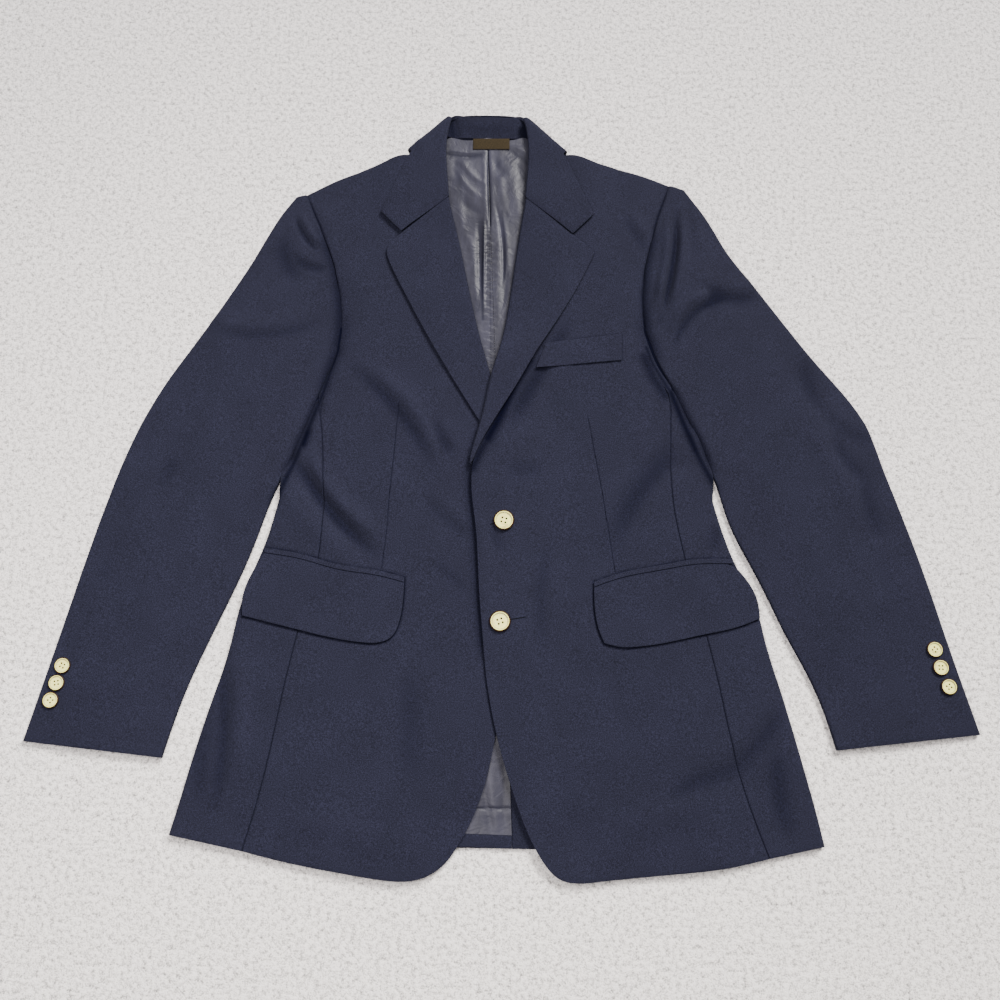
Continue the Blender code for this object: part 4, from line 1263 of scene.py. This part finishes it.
class BLAZER_OT_sleeves(bpy.types.Operator):
    """Make the two-piece sleeves"""

    bl_idname = "blazer.sleeves"
    bl_label = "Sleeves"

    def execute(self, context):
        fine = context.scene.blazer_cloth.fine_levels
        sides = (("left", LEFT_SLEEVE_CREASES, LEFT_GRAIN), ("right", RIGHT_SLEEVE_CREASES, RIGHT_GRAIN))
        for side, creases, grain in sides:
            cloth = wool("Navy wool, %s sleeve" % side, grain)
            sew(side + "_topsleeve", cloth, "navy_wool", creases, fine, foot=2.6, full=5.0)
            sew(side + "_undersleeve", cloth, "navy_wool", NO_CREASES, 2, waves=0.0)
        return {"FINISHED"}


def lining_relief(x, y):
    """The lining stands off the back a little where it shows, and puckers along its seam."""
    across = np.exp(-(((x + 14) / 44) ** 4))
    neck = across * np.clip((y - 500) / 40, 0, 1) * np.clip((800 - y) / 30, 0, 1)
    return 1.2 * neck + pucker_height(x, y)


LINING_NUDGES = (
    Nudge(-62, 800, 19, 0, 11),
    Nudge(34, 800, 19, 0, 11),
    Nudge(-14, 812, 28, 0, 1.4),
)


LINING_CELL = 14.0


def near_openings(x, y, z):
    """The lining shows in the neck and at the bottom between the fronts."""
    neck = (x > -64) & (x < 36) & (y > 500) & (y < 830)
    bottom = (x > -44) & (x < 30) & (y > 36) & (y < 170)
    return (z > 2.0) & (neck | bottom)


class BLAZER_OT_lining(bpy.types.Operator):
    """Make the satin back lining and the blank neck label"""

    bl_idname = "blazer.lining"
    bl_label = "Lining"

    def execute(self, context):
        cloth = satin("Grey satin", 0)
        for node in ("left_back_lining", "right_back_lining"):
            piece = node_copy(node, cloth_name(node))
            cut_grid(piece, LINING_CELL)
            crease_rims(piece)
            apply_modifier(piece, "SUBSURF", levels=1, render_levels=1)
            refine(piece, near_openings, 4)
            add_creases(piece, LINING_CREASES, 0.6, 2.0, 3.3, lining_relief, gain=1.0, drop=-0.9)
            # painted shade along the satin's folds, its pleat and under its yoke
            for shade_line in LINING_FOLD_SHADES:
                paint_shade_along(piece, shade_line.line, shade_line.width, shade_line.dark)
            nudge(piece, LINING_NUDGES)
            only(piece)
            bpy.ops.object.shade_smooth_by_angle(angle=SMOOTH_ANGLE)
            finish_piece(piece, cloth, "grey_satin", node)
        sew("neck_label", woven_label(), "olive_label", NO_CREASES, 2, waves=0.0, edge=0.15)
        return {"FINISHED"}


RIGHT_DART = ((-109, 486), (-112, 433), (-116, 387), (-118, 342), (-122, 304))
LEFT_DART = ((94, 470), (101, 425), (106, 394), (110, 364), (118, 301))

NECK_NUDGES = (
    Nudge(-112, 786, 16, 0, 3.4),
    Nudge(86, 790, 14, 0, 2.4),
)
STAND_NUDGES = (
    Nudge(-54, 838, 14, 0, 4.5),
    Nudge(28, 838, 14, 0, 4.5),
    Nudge(-49, 839, 10, -3.0, 1.6),
    Nudge(24, 839, 10, 3.0, 1.6),
)
FALL_NUDGES = (
    Nudge(-53, 840, 7, 0, -1.4),
    Nudge(29, 840, 7, 0, -1.4),
)
TIP_NUDGES = (Nudge(-35, 412, 10, 2.6, 0),)
HEAD_NUDGES = (
    Nudge(-215, 735, 10, 1.2, 1.4),
    Nudge(190, 747, 10, -1.2, 1.4),
)


# the seam allowance that lies open beneath each underarm, from the armhole down the side seam
LEFT_UNDERARM = ((148, 596), (155, 577), (165, 550), (177, 522), (190, 495))
RIGHT_UNDERARM = ((-166, 576), (-174, 553), (-182, 530), (-191, 505), (-202, 478))
ALLOWANCE_WIDTH = 9.0
ALLOWANCE_LEVEL = 2.9
ALLOWANCE_WALL = 0.5


def seam_allowance(name, line):
    """A narrow strip of cloth under a seam: a small strip of faces, given a wall."""
    strip = bmesh.new()
    rows = []
    for x, y, heading in smooth_line(line, 6.0):
        side = Vector((-math.sin(heading), math.cos(heading), 0)) * ALLOWANCE_WIDTH * MM
        middle = place(x, y, ALLOWANCE_LEVEL)
        rows.append([strip.verts.new(middle + side * share) for share in (-1, 0, 1)])
    for near, far in zip(rows, rows[1:]):
        for index in (0, 1):
            strip.faces.new((near[index], far[index], far[index + 1], near[index + 1]))
    mesh = bpy.data.meshes.new(name)
    strip.to_mesh(mesh)
    strip.free()
    piece = bpy.data.objects.new(name, mesh)
    bpy.context.scene.collection.objects.link(piece)
    apply_modifier(piece, "SOLIDIFY", thickness=ALLOWANCE_WALL * MM, offset=0.0)
    only(piece)
    bpy.ops.object.mode_set(mode="EDIT")
    bpy.ops.mesh.select_all(action="SELECT")
    bpy.ops.mesh.normals_make_consistent(inside=False)
    bpy.ops.object.mode_set(mode="OBJECT")
    return piece


class BLAZER_OT_seams(bpy.types.Operator):
    """Sew the pieces together: close their seams, groove the darts, ease the joins and paint shade along them"""

    bl_idname = "blazer.seams"
    bl_label = "Seams"

    def execute(self, context):
        cloth = {node: bpy.data.objects[cloth_name(node)] for node in CUTS if cloth_name(node) in bpy.data.objects}
        for node in ("left_front", "right_front", "left_back", "right_back"):
            nudge(cloth[node], NECK_NUDGES)
        nudge(cloth["collar_stand"], STAND_NUDGES)
        for side in ("left", "right"):
            front, panel = cloth[side + "_front"], cloth[side + "_side_panel"]
            sleeve, lapel = cloth[side + "_topsleeve"], cloth[side + "_lapel"]
            back, under = cloth[side + "_back"], cloth[side + "_undersleeve"]
            panel_top = 500 if side == "left" else 491
            fall = cloth["collar_fall"]
            meet(sleeve, front, 1.0, 4.0)
            meet(sleeve, front, 1.6, 5.0, low=500, high=650)
            draw_edge(panel, sleeve, 8.0, 16.0, low=380, high=panel_top + 20, fall=0.0, past=0.4)
            tuck(panel, panel_top, 3.0)
            draw_edge(front, panel, 8.0, 14.0, low=380, high=panel_top + 10)
            draw_edge(front, sleeve, 15.0, 24.0, low=panel_top - 20, high=panel_top + 150, fall=0.5, past=0.9)
            draw_edge(front, sleeve, 4.5, 9.0, low=590, fall=0.5, past=0.6)
            draw_edge(back, under, 5.0, 9.0, fall=0.0)
            draw_edge(fall, lapel, 2.4, 6.0, low=700)
            refine_along(front, (sleeve, panel, lapel, fall))
            refine_along(sleeve, (front, panel))
            refine_along(panel, (front, sleeve))
            refine_along(lapel, (fall,))
            # these dips also paint shade into the armholes, side seams and the collar's edges
            meet(sleeve, front, 1.2, 7.0, 0.62, low=530, high=700)
            meet(front, sleeve, 1.2, 4.0, 0.35, low=500, high=640)
            meet(front, sleeve, 1.0, 9.0, 0.34, low=440, high=600)
            meet(panel, sleeve, 3.4, 6.0, 0.66, low=400)
            meet(sleeve, panel, 2.4, 4.0, 0.6, low=400)
            meet(front, sleeve, 1.0, 1.4, 0.75)
            meet(sleeve, front, 1.2, 1.6, 0.8)
            meet(panel, front, 0.8, 0.9, 0.6)
            meet(front, panel, 0.8, 0.9, 0.6)
            meet(front, lapel, 0.9, 1.2, 0.65, rim=True)
            meet(front, fall, 0.9, 1.1, 0.6, rim=True)
            meet(lapel, fall, 0.6, 0.9, 0.45, rim=True)
            # painted shadows beside the armholes, on every piece there
            for shade_line in ARM_SHADES[side]:
                for piece in (front, sleeve, panel, back):
                    paint_shade_along(piece, shade_line.line, shade_line.width, shade_line.dark)
        # painted shade inside the collar stand
        for shade_line in STAND_SHADES:
            paint_shade_along(cloth["collar_stand"], shade_line.line, shade_line.width, shade_line.dark)
        nudge(cloth["collar_fall"], FALL_NUDGES)
        for side in ("left", "right"):
            nudge(cloth[side + "_topsleeve"], HEAD_NUDGES)
        nudge(cloth["left_lapel"], TIP_NUDGES)
        # painted shadow of the left lapel on the left front
        for shade_line in LAPEL_SHADES:
            paint_shade_along(cloth["left_front"], shade_line.line, shade_line.width, shade_line.dark)
        refine_along(cloth["right_front"], (cloth["left_front"],))
        # painted shadow of the left front's edge on the right front beneath it
        meet(cloth["right_front"], cloth["left_front"], 1.8, 7.0, 0.5, low=205, high=470)
        meet(cloth["right_front"], cloth["left_front"], 0.8, 2.0, 0.4)
        # the darts get a groove and painted shade
        press_and_shade_line(cloth["right_front"], RIGHT_DART, 0.9, 1.2, 0.55)
        press_and_shade_line(cloth["left_front"], LEFT_DART, 0.9, 1.2, 0.55)
        tape = wool("Navy wool, seam allowance", 20)
        for side, line in (("left", LEFT_UNDERARM), ("right", RIGHT_UNDERARM)):
            piece = seam_allowance(side + "_underarm_allowance", line)
            # painted shade over the whole strip
            paint_shade(piece, slice(None), ALLOWANCE_SHADE)
            finish_piece(piece, tape, "navy_wool")
        return {"FINISHED"}


class BLAZER_OT_pockets(bpy.types.Operator):
    """Make the breast welt and the flap pockets"""

    bl_idname = "blazer.pockets"
    bl_label = "Pockets"

    def execute(self, context):
        cloth = wool("Navy wool, pockets", 5)
        for side in ("left", "right"):
            jet = sew(side + "_pocket_jet", cloth, "navy_wool", BODY_CREASES, 3, edge=0.3)
            flap = sew(side + "_pocket_flap", cloth, "navy_wool", BODY_CREASES, 3)
            refine_along(flap, (jet,))
            # painted shade along the edges of the flaps, jets and welt
            meet(flap, jet, 0.9, 1.3, 0.8)
            for node in ("_front", "_side_panel"):
                below = bpy.data.objects[cloth_name(side + node)]
                refine_along(below, (flap, jet))
                meet(below, flap, 0.9, 1.5, 0.85, rim=True)
                meet(below, jet, 0.9, 1.3, 0.8, rim=True)
        welt = sew("breast_welt", cloth, "navy_wool", BODY_CREASES, 3, edge=0.3)
        front = bpy.data.objects[cloth_name("left_front")]
        refine_along(front, (welt,))
        meet(front, welt, 0.7, 1.0, 0.35, rim=True)
        return {"FINISHED"}


UNDER_LEAN = -0.8  # points that face down more than this belong to a piece's underside
UNDER_KEPT = 0.12  # the share of the underside's triangles that stays


def thin_underside(piece):
    """Joins most of the small faces under a piece, which lie out of sight on what is below."""
    under = normals_of(piece)[:, 2] < UNDER_LEAN
    piece.data.calc_loop_triangles()
    corners = np.empty(len(piece.data.loop_triangles) * 3, dtype=np.int32)
    piece.data.loop_triangles.foreach_get("vertices", corners)
    hidden = under[corners.reshape(-1, 3)].all(axis=1).mean()
    group = piece.vertex_groups.new(name="underside")
    group.add(np.nonzero(under)[0].tolist(), 1.0, "REPLACE")
    apply_modifier(piece, "DECIMATE", ratio=1 - (1 - UNDER_KEPT) * hidden, vertex_group=group.name)
    piece.vertex_groups.clear()


class BLAZER_OT_undersides(bpy.types.Operator):
    """Lighten the undersides of the cloth"""

    bl_idname = "blazer.undersides"
    bl_label = "Undersides"

    def execute(self, context):
        for node in CUTS:
            thin_underside(bpy.data.objects[cloth_name(node)])
        return {"FINISHED"}


# share of the button's radius and of its height at each turn of its profile, from the back up over
# the rim and down into the dish
BUTTON_PROFILE = (
    (0.70, 0.00),
    (0.90, 0.18),
    (1.00, 0.48),
    (1.00, 0.66),
    (0.95, 0.88),
    (0.86, 1.00),
    (0.80, 1.00),
    (0.76, 0.86),
    (0.73, 0.60),
    (0.66, 0.56),
    (0.45, 0.62),
    (0.20, 0.60),
)
BUTTON_SIDES = 48
BUTTON_EASE = 1.06  # the finished button is a little wider than its solid
RING_SHADE = 0.45  # painted shade in the ring where the rim meets the dish
RING_SHARES = (0.68, 0.78)
EDGE_SHARE = 0.855  # the brown edge starts at this share of the button's radius
HOLE_SHARE = 0.45  # the holes' brown walls lie within this share


def spun_button(name, centre, radius, height, hole, turn):
    """A dished four-hole button: rings raised one after another from its back, then drilled."""
    bpy.ops.object.select_all(action="DESELECT")
    first = BUTTON_PROFILE[0]
    bpy.ops.mesh.primitive_circle_add(
        vertices=BUTTON_SIDES, radius=radius * first[0], fill_type="NGON", location=centre
    )
    button = bpy.context.object
    button.name = name
    bpy.ops.object.mode_set(mode="EDIT")
    bpy.ops.mesh.select_all(action="SELECT")
    last_radius, last_height = first
    for ring_radius, ring_height in BUTTON_PROFILE[1:]:
        rise = (ring_height - last_height) * height
        bpy.ops.mesh.extrude_region_move(TRANSFORM_OT_translate={"value": (0, 0, rise)})
        widen = ring_radius / last_radius
        bpy.ops.transform.resize(value=(widen, widen, 1), center_override=centre)
        last_radius, last_height = ring_radius, ring_height
    bpy.ops.mesh.select_all(action="SELECT")
    bpy.ops.mesh.normals_make_consistent(inside=False)
    bpy.ops.object.mode_set(mode="OBJECT")
    bpy.ops.object.transform_apply(location=True, rotation=True, scale=True)
    drills = []
    for index in range(4):
        angle = turn + index * math.pi / 2
        reach = hole * 1.45
        spot = Vector(centre) + Vector((math.cos(angle), math.sin(angle), 0)) * reach
        bpy.ops.mesh.primitive_cylinder_add(
            vertices=16, radius=hole / 2, depth=height * 4, location=spot
        )
        drills.append(bpy.context.object)
    for drill in drills:
        only(drill)
        bpy.ops.object.transform_apply(location=True, rotation=True, scale=True)
        apply_modifier(button, "BOOLEAN", operation="DIFFERENCE", object=drill, solver="EXACT")
        bpy.data.objects.remove(drill)
    only(button)
    bpy.ops.object.shade_smooth_by_angle(angle=math.radians(35))
    return button


class BLAZER_OT_buttons(bpy.types.Operator):
    """Make the front and cuff buttons"""

    bl_idname = "blazer.buttons"
    bl_label = "Buttons"

    def execute(self, context):
        settings = context.scene.blazer_buttons
        finish, edge = horn(), brown_edge()
        names = ["front_button_upper", "front_button_lower"]
        names += ["%s_cuff_button_%d" % (side, index) for side in ("left", "right") for index in (1, 2, 3)]
        for order, node in enumerate(names):
            low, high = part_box(node)
            centre = (low + high) / 2
            centre.z = low.z
            radius = (high.x - low.x) / 2 * BUTTON_EASE
            hole = settings.hole_size if order < 2 else settings.hole_size * 0.8
            turn = settings.hole_turn + order * 0.6
            button = spun_button(node + "_horn", centre, radius, high.z - low.z, hole, turn)
            finish_piece(button, finish, "pale_horn", node)
            button.data.materials.append(edge)
            for face in button.data.polygons:
                away = [button.data.vertices[index].co - centre for index in face.vertices]
                nearest = min(math.hypot(spot.x, spot.y) for spot in away) / radius
                reach = math.hypot(*(face.center - centre)[:2]) / radius
                if nearest > EDGE_SHARE or face.normal.z < 0.2 and reach < HOLE_SHARE:
                    face.material_index = 1
            # painted shade in the groove between the rim and the dish
            away = (points_of(button) - np.array(centre))[:, :2] / radius
            reach = np.hypot(away[:, 0], away[:, 1])
            ring = (reach > RING_SHARES[0]) & (reach < RING_SHARES[1])
            paint_shade(button, np.nonzero(ring)[0], RING_SHADE)
        return {"FINISHED"}


# ---------------------------------------------------------------- sewing


def smooth_line(points, step):
    """Places at even steps along a smooth curve through these points: x, y and heading."""
    ends = [points[0]] + list(points) + [points[-1]]
    dense = []
    for a, b, c, d in zip(ends, ends[1:], ends[2:], ends[3:]):
        for index in range(12):
            t = index / 12
            dense.append(
                [
                    0.5 * (2 * q + (r - p) * t + (2 * p - 5 * q + 4 * r - s) * t * t + (3 * q - p - 3 * r + s) * t**3)
                    for p, q, r, s in zip(a, b, c, d)
                ]
            )
    dense.append(list(points[-1]))
    places, left = [], step / 2
    for (x0, y0), (x1, y1) in zip(dense, dense[1:]):
        length = math.hypot(x1 - x0, y1 - y0)
        while length > 0 and left <= length:
            share = left / length
            places.append((x0 + (x1 - x0) * share, y0 + (y1 - y0) * share, math.atan2(y1 - y0, x1 - x0)))
            left += step
        left -= length
    return places


class Surface:
    """The top of the finished cloth, to set sewing on."""

    def __init__(self, nodes):
        self.trees = [tree_of(bpy.data.objects[cloth_name(node)]) for node in nodes]

    def at(self, x, y):
        """The highest cloth at a place of the pattern: its point and its normal."""
        best = None
        for tree in self.trees:
            hit = tree.ray_cast(place(x, y, 60), Vector((0, 0, -1)))
            if hit[0] is not None and (best is None or hit[0].z > best[0].z):
                best = hit[:2]
        return best


def bead(length, width, height):
    """One stitch: a small rounded grain, lying along X."""
    bpy.ops.object.select_all(action="DESELECT")
    bpy.ops.mesh.primitive_uv_sphere_add(segments=6, ring_count=4, radius=0.5)
    grain = bpy.context.object
    bpy.ops.object.mode_set(mode="EDIT")
    bpy.ops.mesh.select_all(action="SELECT")
    bpy.ops.transform.rotate(value=math.pi / 2, orient_axis="Y", center_override=(0, 0, 0))
    bpy.ops.transform.resize(value=(length * MM, width * MM, height * MM), center_override=(0, 0, 0))
    bpy.ops.object.mode_set(mode="OBJECT")
    mesh = grain.data
    bpy.data.objects.remove(grain)
    return mesh


def row_of_beads(name, mesh, places, surface, sink=0.0, turn=0.0):
    """Copies of one stitch along a row, each laid on the cloth, joined as one piece."""
    row = bmesh.new()
    for x, y, heading in places:
        spot = surface.at(x, y)
        if spot is None:
            continue
        point, normal = spot
        if normal.z < 0:
            normal = -normal
        along = Vector((math.cos(heading + turn), math.sin(heading + turn), 0))
        along = (along - normal * along.dot(normal)).normalized()
        across = normal.cross(along)
        point = point - normal * sink * MM
        matrix = Matrix((along, across, normal)).transposed().to_4x4()
        matrix.translation = point
        copy = mesh.copy()
        copy.transform(matrix)
        row.from_mesh(copy)
        bpy.data.meshes.remove(copy)
    joined = bpy.data.meshes.new(name)
    row.to_mesh(joined)
    row.free()
    piece = bpy.data.objects.new(name, joined)
    bpy.context.scene.collection.objects.link(piece)
    only(piece)
    bpy.ops.object.shade_smooth()
    return piece


FRONT_EDGE = (
    (-30, 392), (-26, 368), (-23, 330), (-20, 283), (-16, 232), (-12, 188), (-3, 143), (10, 97), (24, 57),
    (34, 33), (45, 17), (58, 6), (72, 3), (95, 6),
)  # fmt: skip
RIGHT_LAPEL_EDGE = ((-125, 664), (-92, 594), (-58, 533), (-26, 474))
LEFT_LAPEL_EDGE = ((101, 669), (78, 614), (43, 557), (20, 512), (-6, 466), (-29, 424))
STITCHED_EDGES = (
    ("front_edge", FRONT_EDGE, ("left_front",)),
    ("right_lapel_edge", RIGHT_LAPEL_EDGE, ("right_lapel",)),
    ("left_lapel_edge", LEFT_LAPEL_EDGE, ("left_lapel",)),
)


class BLAZER_OT_sewing(bpy.types.Operator):
    """Sew the prick stitches and buttonholes"""

    bl_idname = "blazer.sewing"
    bl_label = "Sewing"

    def execute(self, context):
        settings = context.scene.blazer_sewing
        navy = thread("Navy thread", (40, 42, 60))
        # the slit's near-black beads are painted shadow in the buttonholes' openings
        dark = thread("Painted slit shadow", (10, 10, 16))
        brown = thread("Button thread", (70, 52, 34))
        prick = bead(settings.stitch_length / MM, 0.5, 0.4)
        for name, line, nodes in STITCHED_EDGES:
            places = smooth_line(line, settings.stitch_pitch / MM)
            row = row_of_beads(name + "_stitches", prick, places, Surface(nodes), 0.1)
            finish_piece(row, navy, "navy_wool")

        cloth = Surface(("left_front",))
        purl = bead(1.5, 0.5, 0.5)
        slit = bead(2.0, 1.1, 1.0)
        for name, line in (("lower", ((8, 252.5), (26, 255.5))), ("upper", ((-10, 352), (6, 355)))):
            row = row_of_beads(name + "_buttonhole_slit_shadow", slit, smooth_line(line, 0.9), cloth, 0.05)
            finish_piece(row, dark, "navy_wool")
            rows = []
            for side in (-1.0, 1.0):
                moved = [(x, y + side) for x, y in line]
                rows += smooth_line(moved, 0.6)
            rows += smooth_line(((line[1][0], line[1][1] - 0.8), (line[1][0], line[1][1] + 0.8)), 0.5)
            row = row_of_beads(name + "_buttonhole_purl", purl, rows, cloth, 0.1, math.pi / 2)
            finish_piece(row, navy, "navy_wool")
        return {"FINISHED"}


# ---------------------------------------------------------------- panel and registration


class BLAZER_PT_panel(bpy.types.Panel):
    bl_idname = "BLAZER_PT_panel"
    bl_label = "Blazer"
    bl_space_type = "VIEW_3D"
    bl_region_type = "UI"
    bl_category = "Blazer"

    def draw(self, context):
        for operator in OPERATORS:
            self.layout.operator(operator.bl_idname)


GROUPS = (
    ("blazer_cloth", BlazerCloth),
    ("blazer_buttons", BlazerButtons),
    ("blazer_sewing", BlazerSewing),
    ("blazer_stage", BlazerStage),
)

OPERATORS = (
    BLAZER_OT_stage,
    BLAZER_OT_body,
    BLAZER_OT_lining,
    BLAZER_OT_lapels,
    BLAZER_OT_collar,
    BLAZER_OT_sleeves,
    BLAZER_OT_seams,
    BLAZER_OT_pockets,
    BLAZER_OT_undersides,
    BLAZER_OT_buttons,
    BLAZER_OT_sewing,
)


def register():
    for name, group in GROUPS:
        bpy.utils.register_class(group)
        setattr(bpy.types.Scene, name, PointerProperty(type=group))
    for operator in OPERATORS:
        bpy.utils.register_class(operator)
    bpy.utils.register_class(BLAZER_PT_panel)


def unregister():
    bpy.utils.unregister_class(BLAZER_PT_panel)
    for operator in reversed(OPERATORS):
        bpy.utils.unregister_class(operator)
    for name, group in reversed(GROUPS):
        delattr(bpy.types.Scene, name)
        bpy.utils.unregister_class(group)


def main():
    register()
    bpy.ops.blazer.stage()
    bpy.ops.blazer.body()
    bpy.ops.blazer.lining()
    bpy.ops.blazer.lapels()
    bpy.ops.blazer.collar()
    bpy.ops.blazer.sleeves()
    bpy.ops.blazer.seams()
    bpy.ops.blazer.pockets()
    bpy.ops.blazer.undersides()
    bpy.ops.blazer.buttons()
    bpy.ops.blazer.sewing()


if __name__ == "__main__":
    main()
